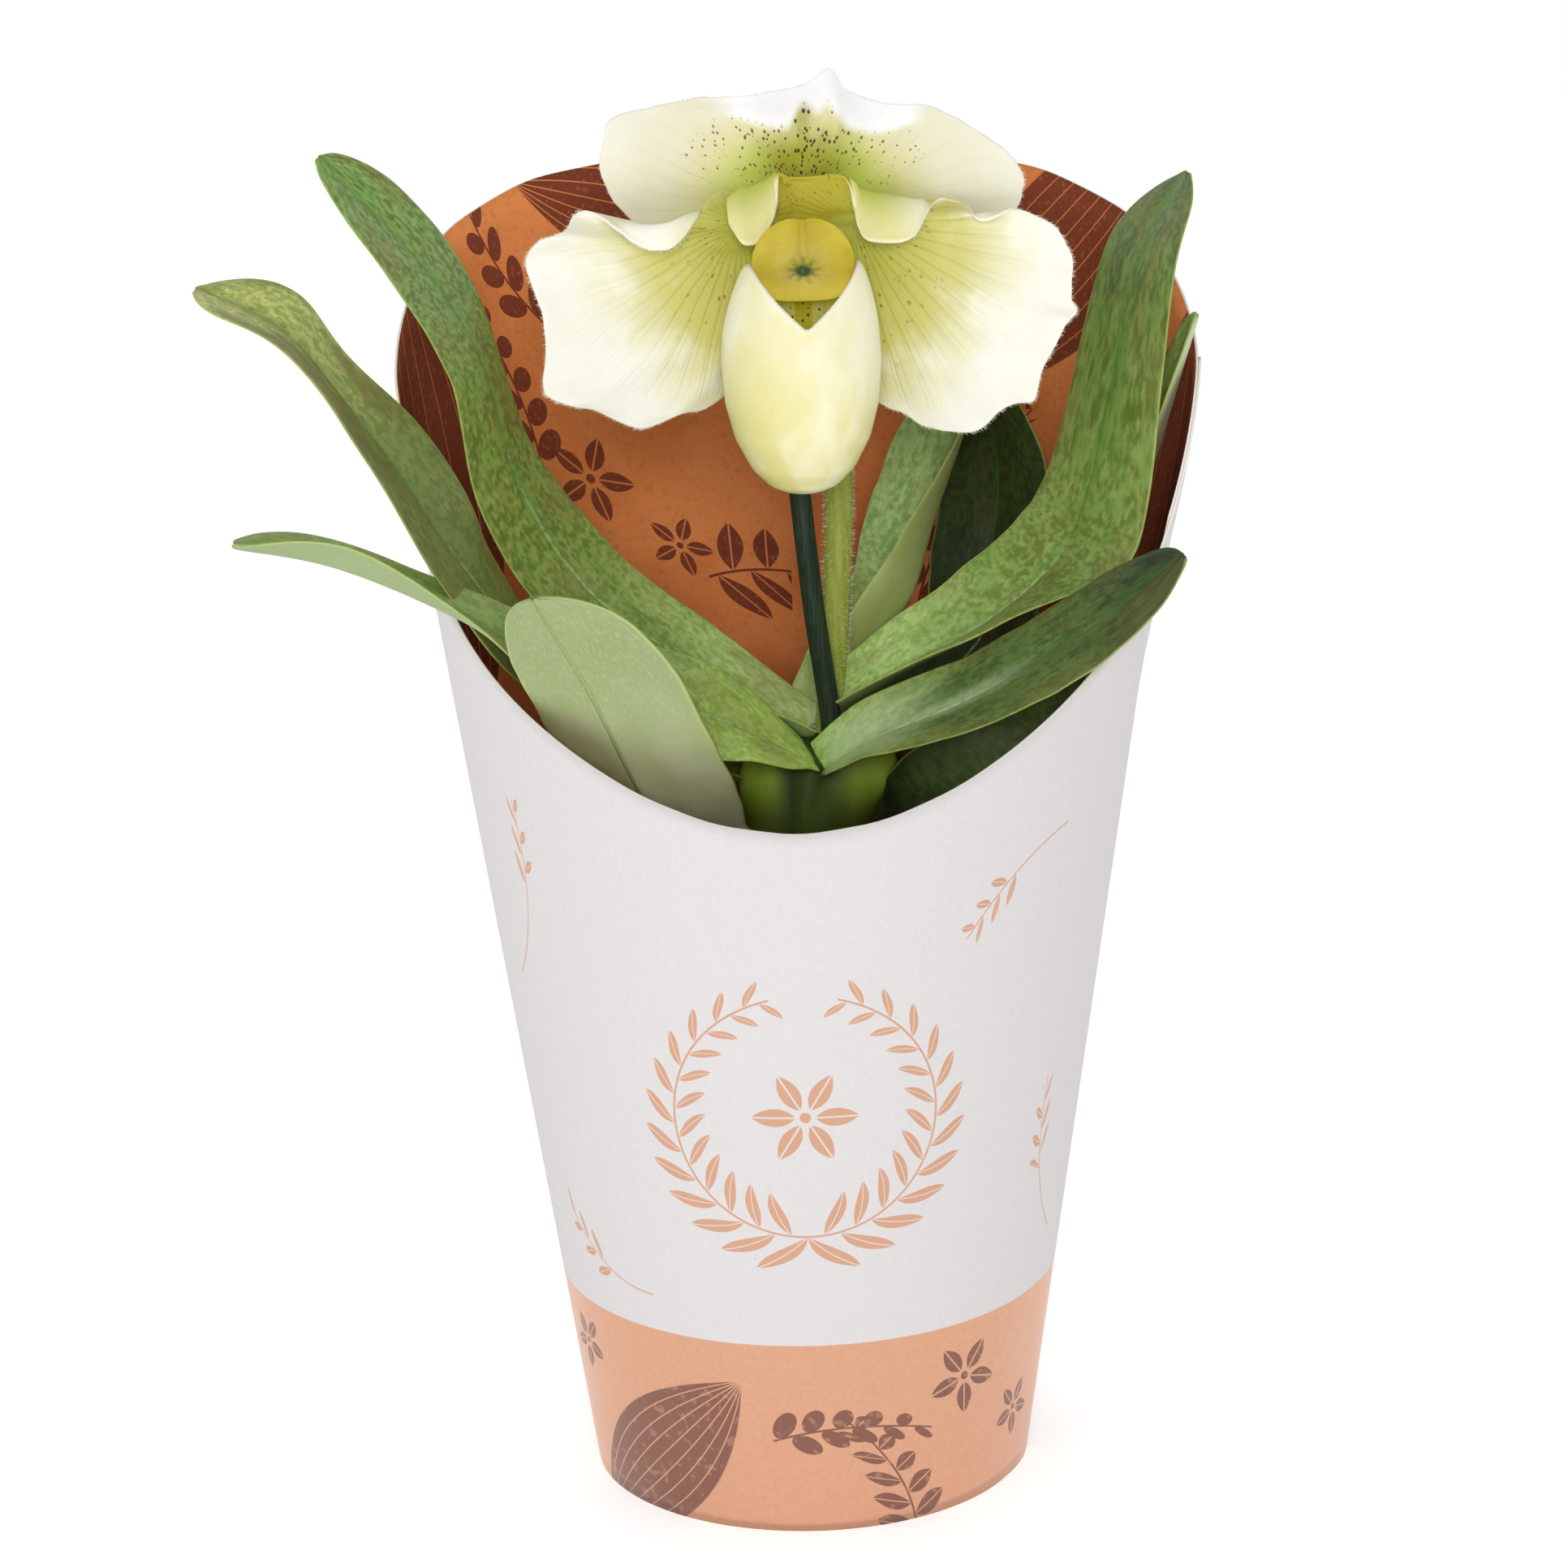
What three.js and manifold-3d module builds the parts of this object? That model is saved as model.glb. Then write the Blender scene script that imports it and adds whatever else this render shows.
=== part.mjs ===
// A slipper orchid (Paphiopedilum) in a 12 cm nursery pot, held in a tall flared sleeve of printed card.
// Units are millimetres and +Z is up. The origin is the centre of the pot's underside, on the table.
// The flower looks along -Y, and +X is on the right of someone who looks it in the face.

import * as THREE from 'three';
import * as BufferGeometryUtils from 'three/addons/utils/BufferGeometryUtils.js';
import Module from 'manifold-3d';

const wasm = await Module();
wasm.setup();

// ---------------------------------------------------------------- driving dimensions

const CLEARANCE = 0.3; // between a piece and its neighbour

// How finely each kind of shape is faceted.
const FACETS = { sleeve: 72, pot: 40, bark: 36, drain: 16, growth: 20, bar: 10, column: 14, pouch: 26,
  pouchRows: 9, leafAcross: 4, leafAlong: 13, petalRound: 22, petalOut: 5 };

// The sleeve is a cone of card, open at both ends, cut low in front and high behind.
const SLEEVE_FOOT_RADIUS = 45;
const SLEEVE_FLARE = 0.1457; // growth of the radius per millimetre of height
const CARD = 0.5;
const MOUTH_BULGE = { above: 165, size: 3.5 }; // where leaves push the card out, on the right of its mouth
const LAP = { from: 77, to: 92, proud: 0.5 }; // the glued overlap, in degrees from the front
// Height of the rim at angles from the front, in degrees; the two sides are alike.
const SLEEVE_RIM = [[0, 158], [14, 160], [27, 165], [38, 171], [48, 177], [57, 183], [67, 191],
  [75, 202], [82, 217], [88, 231], [102, 241], [121, 254], [140, 260], [180, 262.5]];

// The thin plastic pot stands inside the sleeve, with its collar against the card.
const POT = { height: 105, footRadius: 42.5, collarHeight: 8, wall: 1.2 };
const COLLAR_STEP = 1.4; // how far the collar stands out from the pot's wall
const FOOT_CHAMFER = 1;
const DRAIN = { count: 6, radius: 5, ring: 29 };
const BARK_TOP = 92;
const BARK_CLEARANCE = 0.45; // to the pot's wall and floor

// The cane that holds the flower stem up stands in the bark.
const CANE_RADIUS = 2.2;
const CANE_ROUTE = [[14.5, 5, 22], [13, 3.6, 92], [10.2, 0, 128], [7.2, -4, 161], [4.2, -5.6, 185],
  [2.2, -6.6, 206], [0.8, -7, 222], [-0.4, -7, 238]];

const STEM_RADIUS = 3;
const STEM_ROUTE = [[6.2, 3, 152], [7.4, 3.2, 165], [8.6, 4, 182], [9.6, 5, 200], [9.8, 6, 216],
  [9, 7, 230]];
const OVARY_RADIUS = 2.9;
const OVARY_ROUTE = [[9, 7, 230.3], [8, 7.6, 242], [6, 6, 253], [4.4, 0.5, 261.5], [4, -6, 263],
  [4, -9.6, 263]];
// The green bract clasps the ovary from behind.
const BRACT = { bearing: 90, width: 13, fold: [62, 50, 35], roll: [0, 0, 0],
  spine: [[9.1, 11, 226], [9.2, 13.2, 240], [8.6, 13, 254]] };

// The short stems of the two growths, sheathed in folded leaf bases, stand on the bark. Each is a stack
// of level ovals, given as height, centre x, centre y, half-width and half-depth.
const ROOT_HEIGHT = BARK_TOP + CLEARANCE;
const GROWTHS = {
  growth_front: [[ROOT_HEIGHT, -1, 1, 9, 8], [112, -1, 1, 9.5, 8], [128, 0, 0, 11.5, 8.5],
    [140, 2, -1, 13.5, 8.5], [148, 4, -1, 16, 8], [153, 5, 0, 15, 7.5], [157, 5, 1, 10, 6]],
  growth_rear: [[ROOT_HEIGHT, 15, 24, 8, 7], [115, 15, 24, 8.5, 7.5], [136, 14, 22.5, 9, 7],
    [148, 13, 20.5, 8, 6], [152, 13, 20, 5, 4]],
};

// Each leaf blade is folded along its keel and bends outwards on a curved spine. The spine runs from the
// heart of the plant to the tip. The bearing is the compass direction that the leaf faces away to, in degrees
// from +X; fold and roll are its angles in degrees, along the blade.
const LEAF_THICKNESS = 1.5; // at the keel
const EDGE_THINNING = 0.45; // share of the thickness lost at the edge
// The blade starts at a share of its full width, is full about half way up, and then rounds off to its tip.
const BLADE = { base: 0.55, fullAt: 0.55, taperFrom: 0.7, roundness: 2.4 };
const KEEL_SOFTNESS = 0.1; // rounds the fold along the keel
const LEAVES = {
  leaf_right_low: { bearing: -20, width: 26.5, fold: [46, 14, 4, 9], roll: [37, 24, 30, 30],
    spine: [[6, -7, 151], [17, -16, 161], [32, -25, 170], [47, -31, 180], [63, -37, 192], [77, -38, 204]] },
  leaf_left_low: { bearing: 185, width: 26, fold: [12, 18, 18, 20], roll: [-2, -33, -1, 6],
    spine: [[4, -7, 152], [-11, -18, 164], [-25, -32, 174], [-47, -43, 185], [-65, -50, 199], [-88, -48, 209],
      [-109, -42, 212]] },
  leaf_right_high: { bearing: 10, width: 28.5, fold: [52, 34, 0, 8], roll: [14, 18, 25, 6],
    spine: [[8, 2, 161], [23, -1, 171], [40, -2, 181], [54, 1, 193], [61, 2, 209], [71, 4, 253],
      [81, 10, 270]] },
  leaf_left_high: { bearing: 170, width: 27, fold: [56, 4, -6, 16], roll: [-12, -30, -8, -28],
    spine: [[2, 3, 155], [-20, 2, 171], [-41, 0, 188], [-55, 0, 211], [-62, 4, 236], [-73, 9, 254],
      [-93, 11, 277]] },
  leaf_front: { bearing: 223, width: 31, fold: [40, 20, 12], roll: [4, 24, 26],
    spine: [[-6, -4, 126], [-24, -19, 139], [-31, -37, 158], [-40, -50, 183], [-50, -61, 205]] },
  leaf_behind_stem: { bearing: 50, width: 28, fold: [58, 68, 43, 18], roll: [-3, -26, -18, -23],
    spine: [[3, 10, 155], [13, 18, 167], [24, 27, 178], [29, 35, 192], [35, 42, 208], [40, 47, 225]] },
  leaf_back: { bearing: 70, width: 27, fold: [50, 25, 11, 5], roll: [2, -2, -12, -21],
    spine: [[12, 20, 149], [28, 26, 158], [40, 34, 168], [42, 42, 183], [44, 48, 199], [41, 50, 219]] },
  leaf_right_edge: { bearing: 12, width: 20, fold: [50, 30, 19, 22], roll: [-8, -12, -24, 1],
    spine: [[8, -3, 127], [29, -10, 136], [49, -9, 151], [62, 0, 172], [69, 5, 197], [75, 3, 219],
      [82, 2, 243]] },
  leaf_left_far: { bearing: 185, width: 26.5, fold: [46, 0, 18, 15], roll: [-3, -17, -25, -19],
    spine: [[-8, -3, 140], [-31, -9, 160], [-52, -18, 181], [-66, -28, 203], [-81, -20, 224],
      [-99, -16, 247], [-117, -8, 255]] },
};

// The flower's pieces meet round the end of the column.
const HEART = new THREE.Vector3(4, -12, 263);
const PETAL_THICKNESS = 1.4;

// Outlines of the flower's flat pieces, as x and z, taken round from the root's left to its right.
const DORSAL_OUTLINE = [[-25, 266], [-32, 268], [-36, 277], [-34, 286], [-26, 289], [-10, 291], [3, 292],
  [9, 296], [14, 291], [26, 288], [35, 285], [42, 280], [47, 273], [45, 267], [36, 266]];
const LEFT_PETAL_OUTLINE = [[-2, 274], [-7, 266], [-11, 272], [-22, 269], [-32, 267], [-39, 270],
  [-46, 266], [-51, 259], [-48, 247], [-48, 235], [-40, 230], [-30, 227], [-21, 229], [-14, 233], [-9, 241]];
const RIGHT_PETAL_OUTLINE = [[10, 273], [16, 265], [22, 264], [29, 271], [37, 268], [46, 269],
  [54, 264], [57, 255], [55, 243], [49, 232], [39, 225], [31, 225], [22, 229], [16, 234], [13, 242]];
const SYNSEPAL_OUTLINE = [[-5, 250], [-8, 238], [-5, 226], [3, 218], [11, 226], [14, 238], [12, 250]];

// The pouch: half-width and half-depth of its level sections, from the toe up.
const POUCH_SECTIONS = [[216.8, 3.5, 3], [218.5, 6.6, 6], [222, 9.8, 8.8], [228, 13, 11.6], [235, 15, 13.4],
  [243, 15.6, 13.8], [251, 15.5, 13.2], [258, 14.3, 12], [264, 12, 10.5]];
const POUCH = { x: 2.6, toeY: -30.5, mouthY: -28.5, wall: 1.1 };
const POUCH_RIM = { back: 259.2, lobe: 263.5, notch: 252.5, notchHalfAngle: 40 };

// Radius of the column at distances from its foot, which stands behind the flower's heart.
const COLUMN_PROFILE = [[0, 0], [4.6, 0], [4.2, 3], [3, 8], [2.8, 13], [0, 13]];
const COLUMN_FOOT = 2.1;

// The shiny shield that caps the column, leaning back a little.
const STAMINODE = { width: 20.5, height: 16, thickness: 1.6, bevel: 0.6, tilt: 14,
  place: [-0.6, -12.8, -0.5] };

// ---------------------------------------------------------------- tools

function closedMesh(geometry) {
  const bare = geometry.clone();
  bare.deleteAttribute('normal');
  bare.deleteAttribute('uv');
  return BufferGeometryUtils.mergeVertices(bare, 1e-4);
}

// Turns a shape's faces outwards when it was built mirrored.
function facingOut(geometry) {
  const [position, index] = [geometry.attributes.position, geometry.index];
  const corner = (i) => new THREE.Vector3().fromBufferAttribute(position, index.getX(i));
  let volume = 0;
  for (let i = 0; i < index.count; i += 3) {
    volume += corner(i).dot(corner(i + 1).cross(corner(i + 2))) / 6;
  }
  if (volume < 0) {
    for (let i = 0; i < index.count; i += 3) {
      const swapped = index.getX(i + 1);
      index.setX(i + 1, index.getX(i + 2));
      index.setX(i + 2, swapped);
    }
  }
  return geometry;
}

function solidOf(geometry) {
  const mesh = closedMesh(geometry);
  return new wasm.Manifold(new wasm.Mesh({
    numProp: 3,
    vertProperties: new Float32Array(mesh.attributes.position.array),
    triVerts: new Uint32Array(mesh.index.array),
  }));
}

function geometryOf(solid) {
  const mesh = solid.getMesh();
  const geometry = new THREE.BufferGeometry();
  geometry.setAttribute('position', new THREE.BufferAttribute(mesh.vertProperties, 3));
  geometry.setIndex(new THREE.BufferAttribute(mesh.triVerts, 1));
  geometry.computeVertexNormals();
  return geometry;
}

// Cuts the neighbours' clearance shapes out of a piece, and keeps the largest part that is left.
function trimmed(geometry, clearances) {
  let solid = solidOf(geometry);
  for (const clearance of clearances) solid = solid.subtract(solidOf(clearance));
  const parts = solid.decompose().sort((a, b) => b.volume() - a.volume());
  return geometryOf(parts[0]);
}

// A profile of radius and height turned about the Z axis.
function turned(profile, segments) {
  const points = profile.map(([radius, height]) => new THREE.Vector2(radius, height));
  return new THREE.LatheGeometry(points, segments).rotateX(Math.PI / 2);
}

// Moves each vertex of a geometry to where place() puts it.
function reshaped(geometry, place) {
  const position = geometry.attributes.position;
  const point = new THREE.Vector3();
  for (let i = 0; i < position.count; i += 1) {
    point.fromBufferAttribute(position, i);
    place(point);
    position.setXYZ(i, point.x, point.y, point.z);
  }
  return closedMesh(geometry);
}

// A value read off a row of [key, value] steps.
function between(rows, key, column = 1) {
  const last = rows.length - 1;
  if (key <= rows[0][0]) return rows[0][column];
  for (let i = 0; i < last; i += 1) {
    const [low, high] = [rows[i], rows[i + 1]];
    if (key <= high[0]) {
      return THREE.MathUtils.mapLinear(key, low[0], high[0], low[column], high[column]);
    }
  }
  return rows[last][column];
}

const radians = THREE.MathUtils.degToRad;
const curveThrough = (points) => new THREE.CatmullRomCurve3(
  points.map((point) => new THREE.Vector3(...point)), false, 'catmullrom', 0.5);

// A smooth course through evenly spaced values.
function along(values, v) {
  return curveThrough(values.map((value, i) => [value, i, 0])).getPoint(v).x;
}

// A round bar along a route.
function bar(route, radius, steps) {
  const section = new THREE.Shape();
  section.absarc(0, 0, radius, 0, 2 * Math.PI, false);
  return new THREE.ExtrudeGeometry(section, {
    extrudePath: curveThrough(route), steps, curveSegments: FACETS.bar / 2, bevelEnabled: false,
  });
}

// ---------------------------------------------------------------- sleeve, pot and bark

const angleFromFront = (x, y) => THREE.MathUtils.radToDeg(Math.atan2(x, -y));

function sleeveRadius(height, angle) {
  const push = Math.max(Math.sin(radians(angle)), 0) ** 4;
  const risen = THREE.MathUtils.smoothstep(height, MOUTH_BULGE.above, MOUTH_BULGE.above + 60);
  return SLEEVE_FOOT_RADIUS + SLEEVE_FLARE * height + MOUTH_BULGE.size * push * risen;
}

function cardSleeve() {
  const [inner, outer] = [1, 2];
  const [foot, middle, top] = [0, 0.75, 1];
  const skins = [[outer, foot], [outer, middle], [outer, top], [inner, top], [inner, middle], [inner, foot],
    [outer, foot]];
  const ring = turned(skins, FACETS.sleeve);
  return reshaped(ring, (point) => {
    const angle = angleFromFront(point.x, point.y);
    const isOuter = Math.hypot(point.x, point.y) > (inner + outer) / 2;
    const height = point.z * between(SLEEVE_RIM, Math.abs(angle));
    const inLap = angle >= LAP.from && angle <= LAP.to;
    const outerSkin = inLap ? LAP.proud : 0;
    const radius = sleeveRadius(height, angle) + (isOuter ? outerSkin : -CARD);
    point.set(radius * Math.sin(radians(angle)), -radius * Math.cos(radians(angle)), height);
  });
}

const collarFoot = POT.height - POT.collarHeight;
const collarRadius = (height) => SLEEVE_FOOT_RADIUS + SLEEVE_FLARE * height - CARD - CLEARANCE;
const potNeckRadius = collarRadius(collarFoot) - COLLAR_STEP;
const potInnerFoot = POT.footRadius - POT.wall;
const potInnerNeck = potNeckRadius - POT.wall;

function nurseryPot() {
  const cup = turned([
    [0, 0],
    [POT.footRadius - FOOT_CHAMFER, 0],
    [POT.footRadius, FOOT_CHAMFER],
    [potNeckRadius, collarFoot],
    [collarRadius(collarFoot), collarFoot],
    [collarRadius(POT.height), POT.height],
    [collarRadius(POT.height) - POT.wall, POT.height],
    [collarRadius(collarFoot) - POT.wall, collarFoot + POT.wall],
    [potInnerNeck, collarFoot],
    [potInnerFoot, POT.wall],
    [0, POT.wall],
  ], FACETS.pot);
  const holes = [];
  for (let i = 0; i < DRAIN.count; i += 1) {
    const turn = (2 * Math.PI * i) / DRAIN.count;
    const hole = new THREE.CylinderGeometry(DRAIN.radius, DRAIN.radius, 4 * POT.wall, FACETS.drain);
    hole.rotateX(Math.PI / 2);
    holes.push(hole.translate(DRAIN.ring * Math.cos(turn), DRAIN.ring * Math.sin(turn), 0));
  }
  return trimmed(cup, holes);
}

function pottingBark() {
  const wallAt = (height) => THREE.MathUtils.mapLinear(
    height, POT.wall, collarFoot, potInnerFoot, potInnerNeck) - BARK_CLEARANCE;
  const floor = POT.wall + BARK_CLEARANCE;
  const side = [[0, floor], [wallAt(floor), floor], [wallAt(BARK_TOP), BARK_TOP], [0, BARK_TOP]];
  const plug = turned(side, FACETS.bark);
  return trimmed(plug, [caneShape(CLEARANCE)]);
}

const caneShape = (grow) => {
  const route = CANE_ROUTE.map((point) => [...point]);
  route[0][2] -= grow;
  route[route.length - 1][2] += grow;
  return bar(route, CANE_RADIUS + grow, 16);
};

// ---------------------------------------------------------------- growths and leaves

function growth(sections, grow) {
  const last = sections.length - 1;
  const profile = [[0, 0], ...sections.map((_, i) => [1, i]), [0, last]];
  return reshaped(turned(profile, FACETS.growth), (point) => {
    const row = sections[Math.round(point.z)];
    const end = point.z < 0.5 ? -grow : (point.z > last - 0.5 ? grow : 0);
    point.set(row[1] + point.x * (row[3] + grow), row[2] + point.y * (row[4] + grow), row[0] + end);
  });
}

function bladeHalfWidth(v, width) {
  const { base, fullAt, taperFrom, roundness } = BLADE;
  const grown = base + (1 - base) * Math.sin((Math.PI / 2) * Math.min(v / fullAt, 1));
  const toTip = THREE.MathUtils.clamp((v - taperFrom) / (1 - taperFrom), 0, 0.999);
  return (width / 2) * grown * Math.max(Math.sqrt(1 - toTip ** roundness), 0.1);
}

function leafBlade(leaf, grow) {
  const spine = curveThrough(leaf.spine);
  const bearing = radians(leaf.bearing);
  const sideways = new THREE.Vector3(-Math.sin(bearing), Math.cos(bearing), 0);
  const blade = new THREE.BoxGeometry(2, 1, 1, FACETS.leafAcross, 1, FACETS.leafAlong);
  return reshaped(blade, (point) => {
    const [u, side, v] = [point.x, point.y, point.z + 0.5];
    const [before, after] = [Math.max(v - 0.001, 0), Math.min(v + 0.001, 1)];
    const ahead = spine.getPoint(after).sub(spine.getPoint(before)).normalize();
    const across = sideways.clone().addScaledVector(ahead, -sideways.dot(ahead)).normalize();
    across.applyAxisAngle(ahead, radians(along(leaf.roll, v)));
    const up = new THREE.Vector3().crossVectors(ahead, across);
    const fold = radians(along(leaf.fold, v));
    const half = bladeHalfWidth(v, leaf.width) + grow;
    const thickness = LEAF_THICKNESS * (1 - EDGE_THINNING * Math.abs(u)) + 2 * grow;
    const lift = half * (Math.hypot(u, KEEL_SOFTNESS) - KEEL_SOFTNESS) * Math.sin(fold) + side * thickness;
    point.copy(spine.getPoint(v));
    point.addScaledVector(across, half * u * Math.cos(fold));
    point.addScaledVector(up, lift);
    if (v < 0.001) point.addScaledVector(ahead, -grow);
    if (v > 0.999) point.addScaledVector(ahead, grow);
  });
}

// ---------------------------------------------------------------- flower

// A flat piece that spreads from its root to an outline. depth() gives y for the distance out and the place
// along the outline, both from 0 to 1.
function floralSheet(root, outline, depth) {
  const rim = curveThrough(outline.map(([x, z]) => [x, 0, z]));
  const sheet = new THREE.BoxGeometry(1, 1, 1, FACETS.petalRound, 1, FACETS.petalOut);
  return facingOut(reshaped(sheet, (point) => {
    const place = point.x + 0.5;
    const out = point.z + 0.5;
    const side = point.y;
    const edge = rim.getPoint(place);
    const start = new THREE.Vector3().lerpVectors(root[0], root[1], place);
    const flat = new THREE.Vector3().lerpVectors(start, edge, out);
    point.set(flat.x, start.y + depth(out, place) + side * PETAL_THICKNESS, flat.z);
  }));
}

const nearHeart = (x, y, z) => HEART.clone().add(new THREE.Vector3(x, y, z));
const ripple = (out, place, waves, height) => height * out ** 2 * Math.sin(waves * Math.PI * place);

function dorsalSepal() {
  const root = [nearHeart(-3.5, 2.2, 5.2), nearHeart(3.5, 2.2, 5.2)];
  return floralSheet(root, DORSAL_OUTLINE, (out, place) => 2.5 * out + ripple(out, place, 5, 1));
}

function petal(side, outline) {
  const root = [nearHeart(side * 4.7, -0.5, 4), nearHeart(side * 4.7, -0.5, -3)];
  return floralSheet(root, outline, (out, place) => -3 * out + ripple(out, place, 7, 2));
}

function synsepal() {
  const root = [nearHeart(-3, 1, -5.2), nearHeart(3, 1, -5.2)];
  return floralSheet(root, SYNSEPAL_OUTLINE, (out) => 1.2 * out);
}

function pouchRim(angle) {
  const turn = Math.abs(angle);
  if (turn < POUCH_RIM.notchHalfAngle) {
    const share = (turn / POUCH_RIM.notchHalfAngle) ** 0.8;
    return THREE.MathUtils.lerp(POUCH_RIM.notch, POUCH_RIM.lobe, share);
  }
  const pastNotch = (turn - POUCH_RIM.notchHalfAngle) / (180 - POUCH_RIM.notchHalfAngle);
  const share = (1 + Math.cos(Math.PI * pastNotch)) / 2;
  return THREE.MathUtils.lerp(POUCH_RIM.back, POUCH_RIM.lobe, share);
}

// A cup with its mouth on top: the outer skin runs up to the rim, and the inner skin back down.
function pouch() {
  const rows = FACETS.pouchRows;
  const [axis, inner, outer] = [0, 1, 2];
  const [outerPole, innerPole] = [-2, -1];
  const profile = [[axis, outerPole]];
  for (let i = 0; i <= rows; i += 1) profile.push([outer, i / rows]);
  for (let i = rows; i >= 0; i -= 1) profile.push([inner, i / rows]);
  profile.push([axis, innerPole]);
  const toe = POUCH_SECTIONS[0][0];
  const middleY = (height) => THREE.MathUtils.mapLinear(
    height, toe, POUCH_RIM.lobe, POUCH.toeY, POUCH.mouthY);
  return reshaped(turned(profile, FACETS.pouch), (point) => {
    const skin = Math.round(Math.hypot(point.x, point.y));
    if (skin === axis) {
      point.set(POUCH.x, middleY(toe), point.z < -1.5 ? toe : toe + POUCH.wall);
      return;
    }
    const angle = angleFromFront(point.x, point.y);
    const inset = skin === inner ? POUCH.wall : 0;
    const height = THREE.MathUtils.lerp(toe + inset, pouchRim(angle), point.z);
    const halfWidth = between(POUCH_SECTIONS, height, 1) - inset;
    const halfDepth = between(POUCH_SECTIONS, height, 2) - inset;
    point.set(POUCH.x + halfWidth * Math.sin(radians(angle)),
      middleY(height) - halfDepth * Math.cos(radians(angle)), height);
  });
}

function column() {
  const stalk = turned(COLUMN_PROFILE, FACETS.column);
  return closedMesh(stalk.rotateX(Math.PI / 2).translate(HEART.x, HEART.y + COLUMN_FOOT, HEART.z));
}

function staminode() {
  const { width, height, thickness, bevel, tilt, place } = STAMINODE;
  const half = width / 2;
  const shield = new THREE.Shape();
  shield.moveTo(0, height * 0.42);
  shield.bezierCurveTo(half * 0.3, height * 0.56, half * 0.95, height * 0.5, half, height * 0.05);
  shield.bezierCurveTo(half, -height * 0.3, half * 0.3, -height * 0.4, 0, -height * 0.5);
  shield.bezierCurveTo(-half * 0.3, -height * 0.4, -half, -height * 0.3, -half, height * 0.05);
  shield.bezierCurveTo(-half * 0.95, height * 0.5, -half * 0.3, height * 0.56, 0, height * 0.42);
  const plate = new THREE.ExtrudeGeometry(shield, {
    depth: thickness,
    curveSegments: 5,
    bevelSize: bevel,
    bevelThickness: bevel,
    bevelOffset: -bevel,
    bevelSegments: 1,
  });
  plate.rotateX(radians(90 - tilt));
  return closedMesh(plate.translate(...nearHeart(...place).toArray()));
}

// ---------------------------------------------------------------- assembly

const LOOKS = {
  card: { color: 0xe4e2e5, roughness: 0.85, metalness: 0 },
  pot: { color: 0x3a2d27, roughness: 0.5, metalness: 0 },
  bark: { color: 0x5b3a25, roughness: 0.95, metalness: 0 },
  cane: { color: 0x16241f, roughness: 0.7, metalness: 0 },
  growth: { color: 0x8fae4e, roughness: 0.5, metalness: 0 },
  leaf: { color: 0x5c8a45, roughness: 0.45, metalness: 0 },
  stem: { color: 0xa9bf55, roughness: 0.6, metalness: 0 },
  petal: { color: 0xf1f1dd, roughness: 0.6, metalness: 0 },
  pouch: { color: 0xeeecc0, roughness: 0.45, metalness: 0 },
  staminode: { color: 0xd9cf4c, roughness: 0.25, metalness: 0 },
};

const plant = new THREE.Group();

function add(name, geometry, look) {
  geometry.computeVertexNormals();
  const mesh = new THREE.Mesh(geometry, new THREE.MeshStandardMaterial(LOOKS[look]));
  mesh.name = name;
  plant.add(mesh);
}

add('card_sleeve', cardSleeve(), 'card');
add('nursery_pot', nurseryPot(), 'pot');
add('potting_bark', pottingBark(), 'bark');
add('support_cane', closedMesh(caneShape(0)), 'cane');

const inTheWay = [caneShape(CLEARANCE)];
for (const [name, sections] of Object.entries(GROWTHS)) {
  add(name, trimmed(growth(sections, 0), inTheWay), 'growth');
  inTheWay.push(growth(sections, CLEARANCE));
}

const ovaryShape = (grow) => bar(OVARY_ROUTE, OVARY_RADIUS + grow, 16);
const stemShape = (grow) => bar(STEM_ROUTE, STEM_RADIUS + grow, 14);
add('flower_stem', trimmed(stemShape(0), inTheWay), 'stem');
inTheWay.push(stemShape(CLEARANCE));

for (const [name, leaf] of Object.entries(LEAVES)) {
  add(name, trimmed(leafBlade(leaf, 0), inTheWay), 'leaf');
  inTheWay.push(leafBlade(leaf, CLEARANCE));
}

add('stem_bract', trimmed(leafBlade(BRACT, 0), [ovaryShape(CLEARANCE), stemShape(CLEARANCE)]), 'stem');
add('ovary', closedMesh(ovaryShape(0)), 'stem');
add('column', column(), 'petal');
add('dorsal_sepal', dorsalSepal(), 'petal');
add('synsepal', synsepal(), 'petal');
add('petal_left', petal(-1, LEFT_PETAL_OUTLINE), 'petal');
add('petal_right', petal(1, RIGHT_PETAL_OUTLINE), 'petal');
add('pouch', pouch(), 'pouch');
add('staminode', staminode(), 'staminode');

export default plant;
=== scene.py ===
import math
from functools import reduce
from random import Random

import bmesh
import bpy
from mathutils import Matrix, Vector, noise


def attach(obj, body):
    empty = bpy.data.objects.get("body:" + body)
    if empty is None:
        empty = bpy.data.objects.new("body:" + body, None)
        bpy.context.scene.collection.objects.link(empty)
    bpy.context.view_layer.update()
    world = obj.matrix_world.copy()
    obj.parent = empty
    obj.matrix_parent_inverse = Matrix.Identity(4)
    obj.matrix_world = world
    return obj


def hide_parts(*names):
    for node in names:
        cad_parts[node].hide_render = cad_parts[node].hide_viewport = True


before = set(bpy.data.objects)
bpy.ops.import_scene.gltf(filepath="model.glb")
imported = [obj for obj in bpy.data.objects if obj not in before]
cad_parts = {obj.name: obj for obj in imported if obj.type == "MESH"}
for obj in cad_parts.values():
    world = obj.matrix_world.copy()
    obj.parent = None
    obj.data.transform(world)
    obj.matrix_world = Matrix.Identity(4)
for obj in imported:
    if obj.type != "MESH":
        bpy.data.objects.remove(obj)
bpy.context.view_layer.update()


# ---------------------------------------------------------------- nursery pot
# The thin pot that the orchid was grown in, moulded in dark recycled plastic. It stands inside the
# sleeve, and only its rim shows from above. It keeps its CAD shape and gets its plastic here.

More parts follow.
